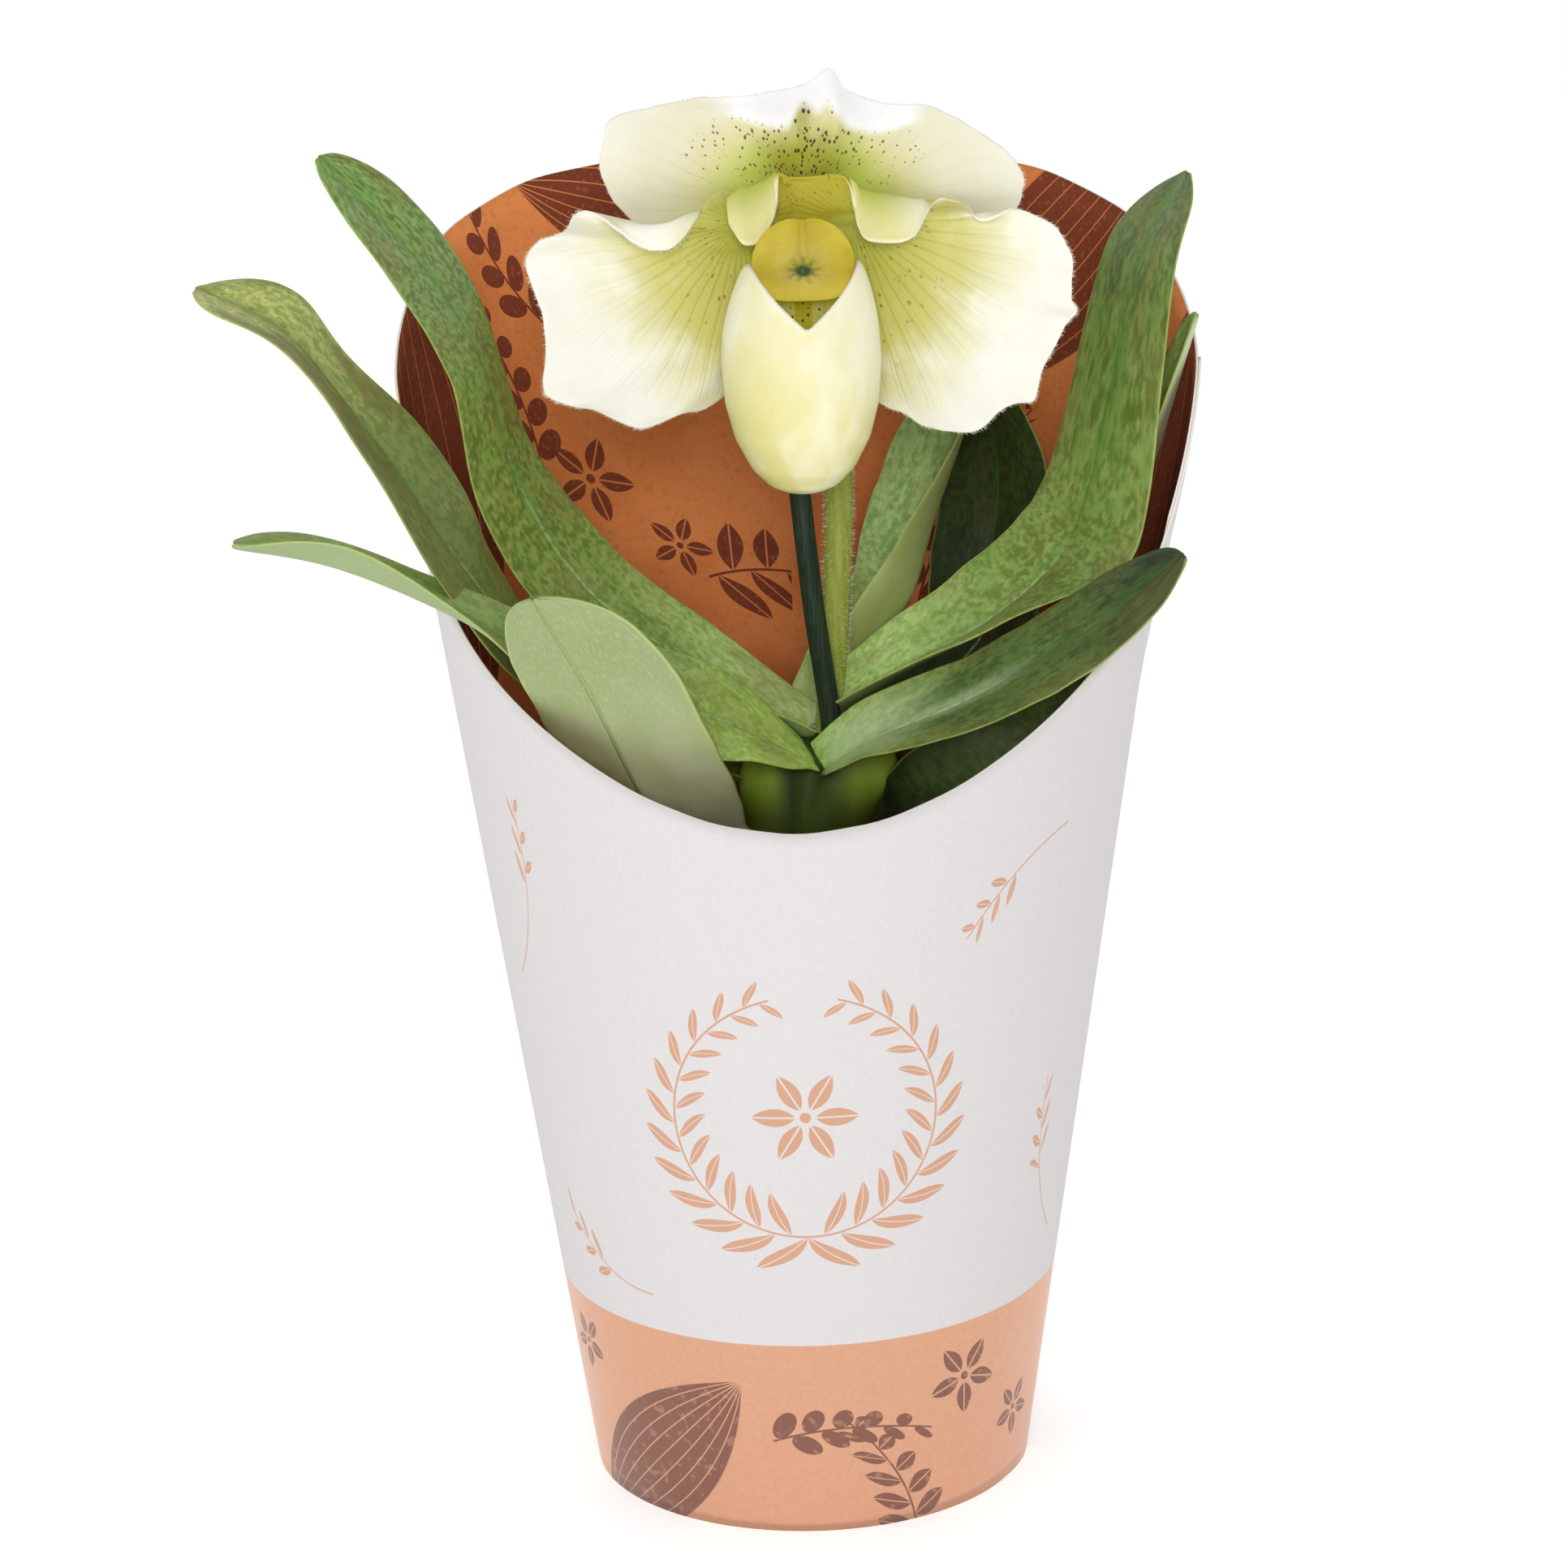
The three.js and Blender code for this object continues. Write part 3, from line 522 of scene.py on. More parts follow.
def underside_finish(name, leaf, length):
    """The pale, matt underside, with a keel line and a thin yellow edge."""
    below = Finish(name + "_underside", {"Roughness": 0.62, "Specular IOR Level": 0.3})
    from_keel, share, across, along = blade_coordinates(below, leaf, length)
    cloud = below.noise(below.joined(across * 0.16, along * 0.05), 1.0, detail=3)
    grain = below.noise(below.joined(across * 2.2, along * 0.5), 1.0, detail=3)
    red, green, blue = leaf["under"]
    keel = from_keel.over(0.035, 0.012)
    below.shown("Base Color", below.coats(
        (red - 14, green - 8, blue - 22),
        (cloud.over(0.35, 0.68), leaf["under"]),
        # Towards the tip the underside takes under_tip; on leaf_front this is painted shade.
        (share.over(0.3, 0.85) * 0.85, leaf.get("under_tip", leaf["under"])),
        (grain.over(0.48, 0.7) * 0.3, (red - 40, green - 30, blue - 46)),
        (keel * 0.7, (146, 158, 92)),
        (from_keel.over(0.94, 0.975) * 0.6, (190, 198, 116))))
    below.relief(keel * 0.7 + grain * 0.12, 0.0003)
    return below


def thickened(piece, thickness, edge_share=0.0):
    """Gives a sheet its thickness about its middle, and rounds it. A second finish goes on its back.

    edge_share thins the sheet where its group "full" is low.
    """
    wall = piece.modifiers.new("thickness", "SOLIDIFY")
    wall.thickness = thickness * MM
    wall.offset = 0
    wall.material_offset = len(piece.data.materials) - 1
    wall.use_even_offset = False
    if edge_share:
        wall.vertex_group = "full"
        wall.thickness_vertex_group = edge_share
    smooth = piece.modifiers.new("rounded", "SUBSURF")
    smooth.levels = smooth.render_levels = 1


for number, (name, leaf) in enumerate(LEAVES.items()):
    points = [Vector(course(leaf["spine"], step / 40)) for step in range(41)]
    length = sum((ahead - point).length for point, ahead in zip(points, points[1:]))
    finishes = [leaf_finish(name, leaf, length), underside_finish(name, leaf, length)]
    blade = piece_from(name + "_blade", blade_mesh(leaf, seed=number * 3.7), finishes, "leaf", name)
    full = blade.vertex_groups.new(name="full")
    for vert in blade.data.vertices:
        side = abs(vert.index % (BLADE_ACROSS + 1) / BLADE_ACROSS * 2 - 1)
        full.add([vert.index], 1 - side ** 3, "REPLACE")
    thickened(blade, BLADE_THICKNESS, edge_share=0.25)


# ---------------------------------------------------------------- flower stem
# The flower stands on one round stem, yellow-green and densely covered in short white hairs. It grows
# out of the front growth, close beside the cane.

STEM_ROUTE = [(6.2, 3, 152), (7.4, 3.2, 165), (8.6, 4, 182), (9.6, 5, 200), (9.8, 6, 216), (9, 7, 230)]
STEM_RADIUS = 3.0
STEM_CORE = STEM_RADIUS - 0.12  # the hairs take up the rest
STEM_HAIRS = 2600


def haired(mesh, draw, root, out, length, thickness=0.04):
    """Adds one thin hair to a mesh, as a three-sided spike that leans a little."""
    lean = Vector((draw.gauss(0, 0.28), draw.gauss(0, 0.28), draw.gauss(0, 0.28)))
    turn = (out + lean).to_track_quat("Z", "Y").to_matrix().to_4x4()
    spike = Matrix.Translation((root + (out + lean).normalized() * length / 2) * MM) @ turn
    bmesh.ops.create_cone(mesh, cap_ends=False, segments=3, radius1=thickness * MM, radius2=thickness * 0.2 * MM,
                          depth=length * MM, matrix=spike)


def hairs_on_bar(route, radius, count, seed, longest, start=0.0, end=1.0):
    draw = Random(seed)
    mesh = bmesh.new()
    for _ in range(count):
        share = draw.uniform(start, end)
        out = out_of(route, share, draw.uniform(0, 2 * math.pi))
        haired(mesh, draw, Vector(course(route, share)) + out * radius * 0.97, out, draw.uniform(0.5, 1) * longest)
    return mesh


stem = Finish("stem", {"Roughness": 0.6, "Specular IOR Level": 0.3, "Subsurface Weight": 0.1,
                       "Subsurface Scale": 0.002})
strands = stem.noise(stem.stretched(stem.place, (1, 1, 0.12)), 900, detail=3)
downy = stem.noise(stem.place, 2600, detail=2)
stem.shown("Base Color", stem.coats(
    (140, 152, 50), (strands.over(0.3, 0.7), (166, 176, 76)), (downy.over(0.55, 0.7) * 0.3, (212, 218, 150))))
stem.relief(downy, 0.0002)
down = Finish("down", {"Roughness": 0.7, "Specular IOR Level": 0.2})
tuft = down.noise(down.place, 300)
down.shown("Base Color", down.mix(tuft, (236, 234, 205), (252, 250, 236)))
stem_mesh = bar(STEM_ROUTE, lambda share, turn: STEM_CORE, around=40, along=90)
piece_from("stem", stem_mesh, [stem], "stem", "flower_stem")
stem_hairs = hairs_on_bar(STEM_ROUTE, STEM_CORE, STEM_HAIRS, seed=21, longest=1.2)
piece_from("stem_hairs", stem_hairs, [down], "stem")


# ---------------------------------------------------------------- ovary and bract
# Above the stem a green bract clasps the ovary, which is ribbed, downy and bent forward to carry the
# flower. Both are hidden behind the flower from the front.

OVARY_ROUTE = [(9, 7, 230.3), (8, 7.6, 242), (6, 6, 253), (4.4, 0.5, 261.5), (4, -6, 263), (4, -9.6, 263)]
OVARY_RADIUS = 2.9
OVARY_HAIRS = 700
BRACT = dict(bearing=90, width=13, fold=[62, 50, 35], roll=[0, 0, 0],
             spine=[(9.1, 11, 226), (9.2, 13.2, 240), (8.6, 13, 254)],
             foot=((138, 150, 62), (160, 172, 84)), middle=((146, 160, 72), (170, 184, 96)),
             tip=((150, 166, 80), (176, 190, 106)), under=(168, 182, 108))
BRACT_LENGTH, BRACT_THICKNESS = 28, 0.8


def ovary_radius(share, turn):
    swell = 0.82 + 0.16 * math.sin(math.pi * share)
    return OVARY_RADIUS * (swell + 0.05 * math.cos(6 * turn))


ovary = Finish("ovary", {"Roughness": 0.6, "Specular IOR Level": 0.3})
ribs = ovary.noise(ovary.stretched(ovary.place, (1, 0.3, 0.3)), 700, detail=3)
ovary.shown("Base Color", ovary.mix(ribs.over(0.35, 0.7), (128, 138, 54), (172, 180, 92)))
ovary.relief(ribs, 0.0003)
piece_from("ovary_ribbed", bar(OVARY_ROUTE, ovary_radius, around=48, along=80), [ovary], "stem", "ovary")
ovary_hairs = hairs_on_bar(OVARY_ROUTE, OVARY_RADIUS * 0.93, OVARY_HAIRS, seed=22, longest=0.8, start=0.02, end=0.85)
piece_from("ovary_hairs", ovary_hairs, [down], "stem")
bract_finishes = [leaf_finish("bract", BRACT, BRACT_LENGTH), underside_finish("bract", BRACT, BRACT_LENGTH)]
bract = piece_from("bract", blade_mesh(BRACT, seed=1.3), bract_finishes, "stem", "stem_bract")
thickened(bract, BRACT_THICKNESS)


# ---------------------------------------------------------------- petals
# Two broad petals, waxy white and yellow-green towards the heart, with branching veins, fine dark
# spots and a fringe of hairs. The upper margin is ruffled, and rolls forward over itself in places.

# Each margin is x, y, z and, where it rolls forward, by how much, taken round from the heart's top.
LEFT_MARGIN = [
    (4.6, -11.8, 274.6), (1.3, -12.9, 275.8), (-1.2, -14.4, 277.5, 0.1), (-1.6, -16, 274, 0.75),
    (-1.8, -18, 270.2, 1.5), (-3.5, -20.5, 266.8, 2.05), (-6, -22, 264.7, 2.3), (-8.5, -22, 265, 2.15),
    (-10.4, -19.5, 267.4, 1.3), (-10.9, -16.5, 270.1, 0.6), (-11.4, -13.5, 272.2, 0.08), (-13.2, -13, 272.7),
    (-15.7, -15.5, 271.6, 0.15), (-17.6, -19, 269.2, 0.45), (-19.9, -22, 266.5, 0.85), (-22.5, -24, 264.8, 1),
    (-26, -24, 264.6, 0.95), (-29.3, -22.5, 265.6, 0.72), (-32.6, -19.5, 267.6, 0.35), (-36, -16, 269.3, 0.08),
    (-39.7, -13.5, 270.3), (-41.8, -14, 269.3), (-43, -16.5, 267.3), (-45.4, -18.5, 266.7), (-48.3, -18.5, 265.7),
    (-50.7, -17, 262.7), (-51.1, -17, 259.7), (-49.6, -18.5, 255.5), (-48, -20, 250.6), (-47.8, -19, 242.9),
    (-48.5, -19.5, 236.6), (-47, -21, 234.3), (-42.9, -21.5, 232.9), (-38.5, -20, 231.7), (-34.1, -19, 229),
    (-29.8, -20, 227.7), (-25.7, -21, 228.9), (-20.9, -19.5, 230.5), (-17.4, -17, 230.4), (-14.1, -15.5, 232),
    (-11.8, -14, 234), (-9, -13, 239.2), (-5.6, -12.6, 244.8)]
RIGHT_MARGIN = [
    (-2.6, -12.6, 276.4), (3.2, -13.4, 276.3), (7.1, -13.5, 276.3), (9.8, -14, 276.7), (12.3, -14.8, 276.2, 0.1),
    (13.5, -16.5, 273.4, 0.6), (13.9, -18.5, 269.6, 1.2), (14.6, -20.5, 266.5, 1.7), (16.4, -22, 265, 1.9),
    (19.7, -23, 264.7, 1.85), (23.1, -22.5, 264.7, 1.75), (25.5, -20.5, 265.6, 1.4), (27.3, -17, 267.8, 0.8),
    (29.3, -13.5, 270.1, 0.12), (31.6, -12.5, 271), (34.3, -13, 270.4), (36.3, -15, 269.6, 0.05),
    (37.6, -17.5, 268.4, 0.2), (39.6, -18.5, 267.7, 0.25), (42.4, -17.5, 268.6, 0.1), (45.6, -16, 269.3),
    (49.8, -16, 267.7), (52.9, -17, 266.1), (55.1, -16.5, 262.8), (56.6, -16, 258.6), (56.3, -17.5, 255),
    (56.2, -18, 251.5), (57.3, -18.5, 249), (55.1, -20, 247.1), (52.9, -19.5, 242.6), (50.3, -18.5, 237.5),
    (49.1, -20, 233.4), (48.1, -20.5, 231.4), (44.8, -19.5, 230.9), (41.4, -20, 229.3), (38.5, -21.5, 226.8),
    (35.5, -21.5, 225.7), (30.7, -20, 225.9), (26.4, -18.5, 226.6), (23.3, -18, 228.7), (19.8, -17, 230),
    (17.1, -15.5, 231.7), (14.6, -14, 235.5), (12.5, -13, 242)]
LEFT_ROOT = [(4.6, -11.5, 267), (0.5, -12, 265), (-0.2, -12, 260), (-0.3, -12, 255), (0, -12.2, 251)]
RIGHT_ROOT = [(-1.4, -11.8, 267), (4.4, -12.6, 267), (6.8, -12, 265), (7.6, -12, 260), (7.8, -12, 255),
              (7.6, -12.2, 251)]
ROLL_BEND = (0, 3.2, 4.4)  # where the bend lies from the margin, for a roll of 1
PETAL_WALL = 0.8
PETAL_ACROSS, PETAL_ALONG = 150, 44
PETAL_BOW = 1.6
PETAL_FRINGE_HAIRS, DORSAL_FRINGE_HAIRS = 620, 520


def rolls(margin):
    return [point[3] if len(point) > 3 else 0 for point in margin]


def eased(points, reach):
    """The points with each one moved to the average of itself and its near neighbours."""
    made = []
    for i in range(len(points)):
        step = min(reach, i, len(points) - 1 - i)
        near = points[i - step:i + step + 1]
        made.append(sum(near, Vector((0, 0, 0))) / len(near))
    return made


def sheet_rows(root, margin, bend_from, bow):
    """Four control rows from the root to the free margin: root, middle, bend and margin.

    The ruffles of the margin fade out towards the root. bow is how far the middle stands forward.
    """
    last = len(margin) - 1
    starts = [Vector(course(root, i / last)) for i in range(last + 1)]
    edges = [Vector(point[:3]) for point in margin]
    bends = []
    for start, edge, roll in zip(starts, edges, rolls(margin)):
        bends.append(edge + Vector(bend_from) * roll + (start - edge) * (1 - min(roll, 1)) * 0.16)
    soft, broad = eased(bends, 1), eased(bends, 4)
    rows = [[], [], [], []]
    for i, (start, roll) in enumerate(zip(starts, rolls(margin))):
        bend = bends[i].lerp(soft[i], 0.6 * (1 - min(roll, 1)))
        middle = start.lerp(broad[i], 0.5) + Vector((0, -bow * (broad[i] - start).length / 40, 0))
        for row, point in zip(rows, (start, middle, bend, edges[i])):
            row.append(tuple(point))
    return rows


def petal_point(rows, u, v):
    return Vector(course([course(row, u) for row in rows], v))


def petal_mesh(rows, margin, seed, across=PETAL_ACROSS, along=PETAL_ALONG, flip=False):
    """The sheet keeps how far its margin is rolled, for its colours, as the layer roll."""
    mesh = sheet_mesh(across, along)
    rolled = mesh.verts.layers.float.new("roll")
    margin_rolls = [(roll,) for roll in rolls(margin)]
    for vert in mesh.verts:
        u, v = (vert.co.x + 1) / 2, vert.co.y
        vert[rolled] = course(margin_rolls, u)[0]
        point = petal_point(rows, u, v)
        quilt = 0.5 * noise.noise(Vector((u * 14, v * 4, seed))) * v
        crimp = 0.3 * noise.noise(Vector((u * 50, v * 2.5, seed + 3))) * v ** 5
        nick = 0.3 * noise.noise(Vector((u * 90, 0, seed + 7))) * v ** 8
        vert.co = (point + Vector((nick, quilt + crimp, nick))) * MM
    if flip:
        bmesh.ops.reverse_faces(mesh, faces=mesh.faces)
    return mesh


def margin_hairs(rows, seed, count, longest, start=0.02, end=0.97):
    draw = Random(seed)
    mesh = bmesh.new()
    for _ in range(count):
        u = draw.uniform(start, end)
        edge, inside = petal_point(rows, u, 0.995), petal_point(rows, u, 0.93)
        out = (edge - inside).normalized()
        haired(mesh, draw, edge, out, draw.uniform(0.5, 1) * longest, 0.045)
    return mesh


HEART_X, HEART_Z = 4.0, 262.0


def around_heart(finish):
    """The turn from straight up, in radians, and the distance in millimetres, round the flower's heart."""
    x, _, z = finish.split(finish.place)
    right, up = x / MM - HEART_X, z / MM - HEART_Z
    return finish.maths("ARCTAN2", right, up), finish.maths("SQRT", right * right + up * up)


def waxy(name):
    return Finish(name, {"Roughness": 0.55, "Specular IOR Level": 0.25, "Subsurface Weight": 0.3,
                         "Subsurface Radius": (1, 0.95, 0.7), "Subsurface Scale": 0.002})


def petal_finish(name, hub_x, hub_z):
    """v runs from the root out to the margin. The veins fan out from a hub behind the ruffle."""
    wax = waxy(name)
    _, v, _ = wax.split(wax.sheet)
    turn, reach = around_heart(wax)
    rolled = wax.node("ShaderNodeAttribute", {"attribute_name": "roll"}, output=2)
    flap = v.over(0.63, 0.72) * rolled.over(0.1, 0.5)
    x, _, z = wax.split(wax.place)
    across, down = x / MM - hub_x, hub_z - z / MM
    fan = wax.maths("ARCTAN2", across, down)
    length = wax.maths("SQRT", across * across + down * down)
    ray = fan + (wax.noise(wax.joined(fan * 2, length * 0.05), 1.0, detail=1) - 0.5) * 0.1
    main = (abs(wax.maths("SINE", ray * 24)) * length).over(10, 0)
    forked = (abs(wax.maths("SINE", ray * 48 + 1.1)) * length).over(14, 0) * length.over(18, 28)
    veins = (main | forked * 0.7) * v.over(0.92, 0.55) * v.over(0.0, 0.12) * (1 - flap)
    cloud = wax.noise(wax.place, 110, detail=2)
    downwards = abs(turn).over(1.5, 2.2)
    outwards = (reach + (cloud - 0.5) * 5) * (1 + downwards * 0.12)
    collar = abs(turn).over(0.95, 0.6) * reach.over(21, 17) * (1 - flap)
    inner_flap = wax.mix(v.over(0.66, 0.95), (176, 184, 72), (226, 220, 154))
    spots = wax.dots(wax.joined(fan * 14, length * 0.5), 1.0, 0.12, (0.19, 0.11), 0.3)
    spotted = reach.over(8, 10) * reach.over(32, 18) * (1 - flap)
    wax.shown("Base Color", wax.coats(
        (188, 184, 80),
        (outwards.over(12, 30), (202, 196, 114)),
        (outwards.over(27, 42), (228, 225, 192)),
        (outwards.over(38, 50), (238, 236, 222)),
        # Painted highlight: pale soft patches of sheen over the outer petal.
        (cloud.over(0.48, 0.68) * outwards.over(22, 38) * 0.4, (244, 243, 234)),
        (veins * outwards.over(48, 20) * 0.5, (168, 174, 66)),
        (collar * 0.85, (178, 166, 40)),
        (flap, wax.mix(reach.over(16, 30), inner_flap, (246, 243, 226))),
        # A whiter margin along the edge: partly its own paler edge and partly a painted highlight.
        (v.over(0.965, 1.0) * (reach + rolled * 10).over(18, 24) * 0.5, (250, 249, 236)),
        (spots * spotted * 0.75, (128, 84, 36))))
    sparkle = wax.noise(wax.place, 1500, detail=2)
    crepe = wax.noise(wax.place, 420, detail=2)
    wax.relief(veins * -0.2 + sparkle * 0.25 + crepe * 0.3 + cloud * 0.4, 0.0004)
    return wax


# Each has its root, margin, seed, whether its grid is turned over, and the x of its veins' hub.
PETALS = {"petal_left": (LEFT_ROOT, LEFT_MARGIN, 4.2, False, -8.6),
          "petal_right": (RIGHT_ROOT, RIGHT_MARGIN, 9.1, True, 13.1)}
VEIN_HUB_Z = 267.5
for name, (root, margin, seed, flip, hub_x) in PETALS.items():
    rows = sheet_rows(root, margin, ROLL_BEND, PETAL_BOW)
    wax = petal_finish(name + "_wax", hub_x, VEIN_HUB_Z)
    mesh = petal_mesh(rows, margin, seed, flip=flip)
    thickened(piece_from(name + "_blade", mesh, [wax], "petal", name), PETAL_WALL)
    fringe = margin_hairs(rows, int(seed * 10), PETAL_FRINGE_HAIRS, longest=0.9, start=0.25)
    piece_from(name + "_fringe", fringe, [down], "petal")


# ---------------------------------------------------------------- dorsal sepal
# The broad upper sepal stands behind the petals. It is greyish white, lime green at its foot, with
# rows of dark maroon dots, and its top is bent back into a bright brim with a point in the middle.

DORSAL_MARGIN = [
    (-2.8, -10.6, 263), (-10.8, -9.6, 262.3), (-19.6, -8.8, 263.1), (-25.8, -8.4, 264.5), (-29, -8.2, 266),
    (-31.7, -8, 268.7), (-34.6, -8.3, 272.9), (-36.2, -9, 277.8), (-35.7, -9.5, 281.5), (-35, -9.3, 284.8),
    (-34.1, -8.8, 287.5), (-30.3, -8, 288.8), (-25.9, -7.5, 289.6), (-21.3, -7, 290.4), (-16.8, -6.5, 291, 0.06),
    (-13.1, -6, 290.9, 0.14), (-9.5, -5.5, 290.7, 0.26), (-6.1, -5, 290.9, 0.5), (-3.2, -4.5, 291.4, 0.75),
    (-0.2, -4, 291.7, 0.93), (2.9, -4, 292.3, 1), (5.6, -4, 293.2, 0.97), (7.6, -4.5, 294.8, 0.95),
    (9, -5, 295.9, 0.82), (10.6, -4.5, 294.6, 1.03), (12, -4, 292, 0.93), (14.2, -4, 290.7, 0.86),
    (17.1, -4.2, 289.5, 0.78), (20.2, -4.8, 288.8, 0.62), (23.4, -5.5, 288.5, 0.4), (27.2, -6.2, 288.6, 0.17),
    (31.4, -7, 287.5, 0.03), (36.1, -7.8, 285.1), (41.5, -8.5, 281.2), (45.1, -9, 278.3), (47.3, -9.3, 274.9),
    (47.2, -9, 271.6), (45.8, -8.5, 267.7), (40.9, -8.5, 264.7), (31.8, -9, 263.1), (21.3, -9.8, 262.2),
    (12.5, -10.6, 262.6)]
DORSAL_ROOT = [(1.8, -10.9, 265.5), (1.2, -10.7, 267.5), (4, -10.6, 268.5), (6.8, -10.7, 267.5), (6.2, -10.9, 265.5)]
BRIM_BEND = (0, -7, -7.8)  # where the brim's bend lies from the margin, for a brim of 1

dorsal_sheet = sheet_rows(DORSAL_ROOT, DORSAL_MARGIN, BRIM_BEND, -1.2)
sepal = waxy("dorsal_wax")
u, v, _ = sepal.split(sepal.sheet)
turn, reach = around_heart(sepal)
bent = sepal.node("ShaderNodeAttribute", {"attribute_name": "roll"}, output=2)
peak = abs(turn).over(0.14, 0.0) * 0.14
brim = (v - peak).over(0.66, 0.77) * bent.over(0.02, 0.3)
cloud = sepal.noise(sepal.place, 110, detail=2)
outwards = reach + abs(turn) * 3.5 + (cloud - 0.5) * 5
stripe = abs(turn).over(0.08, 0.02) * reach.over(31, 25)
drift = sepal.noise(sepal.joined(u * 6, v * 1.6), 1.0, detail=2) - 0.5
veins = abs(sepal.maths("SINE", (u + drift * 0.02) * 100)).over(0.4, 0.0) * v.over(0.9, 0.4) * (1 - brim)
near = abs(turn).over(1.0, 0.0)
spots = sepal.dots(sepal.joined(turn * 27, reach * 0.78), 1.0, 0.12, (0.15, 0.07), 0.12, near * 0.16)
spotted = reach.over(12, 13) * (reach + abs(turn) * 0.5).over(31.5, 29.5) * abs(turn).over(1.05, 0.9) * (1 - brim)
sepal.shown("Base Color", sepal.coats(
    sepal.mix(abs(turn).over(0.2, 0.75), (152, 156, 44), (184, 198, 80)),
    (outwards.over(18, 29), (212, 208, 150)),
    (outwards.over(24, 36), (221, 217, 192)),
    (outwards.over(36, 50), (228, 226, 210)),
    (stripe * 0.5, (158, 160, 54)),
    (veins * 0.14, (180, 190, 100)),
    # The brim is painted near white: its own whiter colour, and painted light where it faces up to the lamp.
    (brim, (251, 250, 246)),
    (spots * spotted * 0.95, sepal.mix(near, (150, 92, 56), (56, 26, 14)))))
sparkle = sepal.noise(sepal.place, 1500, detail=2)
sepal.relief(veins * -0.12 + sparkle * 0.25 + cloud * 0.3, 0.0003)
dorsal_mesh = petal_mesh(dorsal_sheet, DORSAL_MARGIN, seed=2.5)
thickened(piece_from("dorsal_sepal_blade", dorsal_mesh, [sepal], "petal", "dorsal_sepal"), PETAL_WALL)
dorsal_fringe = margin_hairs(dorsal_sheet, 31, DORSAL_FRINGE_HAIRS, longest=0.7)
piece_from("dorsal_sepal_fringe", dorsal_fringe, [down], "petal")


# ---------------------------------------------------------------- synsepal
# The two lower sepals are grown together in one narrow piece. It is as waxy as the petals, grows from
# the flower's heart and hangs behind the pouch.

SYNSEPAL_MARGIN = [
    (0, -9.5, 257.1), (-3.1, -9, 248.8), (-5.2, -8.7, 240.4), (-5.1, -8.7, 232.1), (-3.7, -8.8, 223.8),
    (-0.9, -9.4, 219.5), (1.8, -9.8, 218.2), (4.7, -9.8, 218), (7.9, -9.4, 219.5), (10.4, -8.8, 223.5),
    (12.2, -8.7, 231.7), (12.2, -8.7, 240), (10.8, -9, 248.5), (8, -9.5, 256.9)]
SYNSEPAL_ROOT = [(1.5, -10.5, 257.5), (4, -10.5, 257), (6.5, -10.5, 257.5)]
synsepal_wax = petal_finish("synsepal_wax", 4, 266)
lower_rows = sheet_rows(SYNSEPAL_ROOT, SYNSEPAL_MARGIN, ROLL_BEND, 0.5)
lower_mesh = petal_mesh(lower_rows, SYNSEPAL_MARGIN, seed=6.2, across=60, along=24)
thickened(piece_from("synsepal_blade", lower_mesh, [synsepal_wax], "petal", "synsepal"), PETAL_WALL)


# ---------------------------------------------------------------- column
# A short thick column of smooth flesh carries the shield and an anther on each side. It grows out of the
# ovary and joins all the flower's pieces.

COLUMN_FOOT = (4, -9.9, 263)
COLUMN_PROFILE = [(0, 0), (4.6, 0), (4.2, 3), (3, 8), (2.8, 13), (0, 13)]
column_mesh = bmesh.new()
ring = [column_mesh.verts.new(Vector((radius, -reach, 0)) * MM) for radius, reach in COLUMN_PROFILE]
edges = [column_mesh.edges.new(pair) for pair in zip(ring, ring[1:])]
bmesh.ops.spin(column_mesh, geom=ring + edges, axis=(0, 1, 0), cent=(0, 0, 0), angle=2 * math.pi, steps=48,
               use_merge=True)
for side in (-1, 1):
    anther = Matrix.Translation(Vector((side * 3.4, -6, -1.2)) * MM) @ Matrix.Diagonal((1, 1.5, 1, 1))
    bmesh.ops.create_uvsphere(column_mesh, u_segments=20, v_segments=12, radius=1.4 * MM, matrix=anther)
bmesh.ops.remove_doubles(column_mesh, verts=column_mesh.verts, dist=SAME_PLACE)
bmesh.ops.recalc_face_normals(column_mesh, faces=column_mesh.faces)
bmesh.ops.translate(column_mesh, verts=column_mesh.verts, vec=Vector(COLUMN_FOOT) * MM)
flesh = Finish("column_flesh", {"Roughness": 0.45, "Specular IOR Level": 0.4})
mottle = flesh.noise(flesh.place, 420, detail=3)
flesh.shown("Base Color", flesh.mix(mottle.over(0.35, 0.7), (176, 170, 60), (206, 204, 120)))
flesh.relief(mottle, 0.0002)
piece_from("column_with_anthers", column_mesh, [flesh], "petal", "column")


# ---------------------------------------------------------------- pouch
# The lip is a deep pouch, waxy cream-yellow, thick at its rim, with two blunt horns at the sides and a
# sharp notch in front. Inside it is yellow with a green stripe and small maroon dots.

# Height, half-width and half-depth of its level sections, from the toe up.
POUCH_SECTIONS = [(216.8, 0, 0), (217.1, 3.6, 3.2), (218.6, 6.9, 6.2), (222, 10.2, 9), (228, 13.3, 11.8),
                  (235, 15.1, 13.4), (243, 15.7, 13.8), (249, 15.4, 13.3), (253, 14.7, 12.7), (257.4, 13.5, 12),
                  (260.9, 12.2, 11.3), (263, 10.9, 10.6), (264, 10.1, 10.2)]
POUCH_X, TOE_Y, MOUTH_Y = 2.6, -30.5, -28.5
MOUTH_SHIFT, SHIFT_FROM, SHIFT_RISE = 0.7, 248, 14  # how far the mouth is shifted to the right, and from where
RIM_FADE = 1.3  # how fast the painted highlight on the rim fades below its edge
STRIPE_X = 3.3
POUCH_RIM_BACK, POUCH_HORN, POUCH_NOTCH = 259.2, 263.4, 252.3
NOTCH_HALF_ANGLE, HORN_ANGLE = 80, 55  # in degrees, from the notch to a horn and from there to the back
MOUTH_SKEW = 4
POUCH_WALL = 1.2


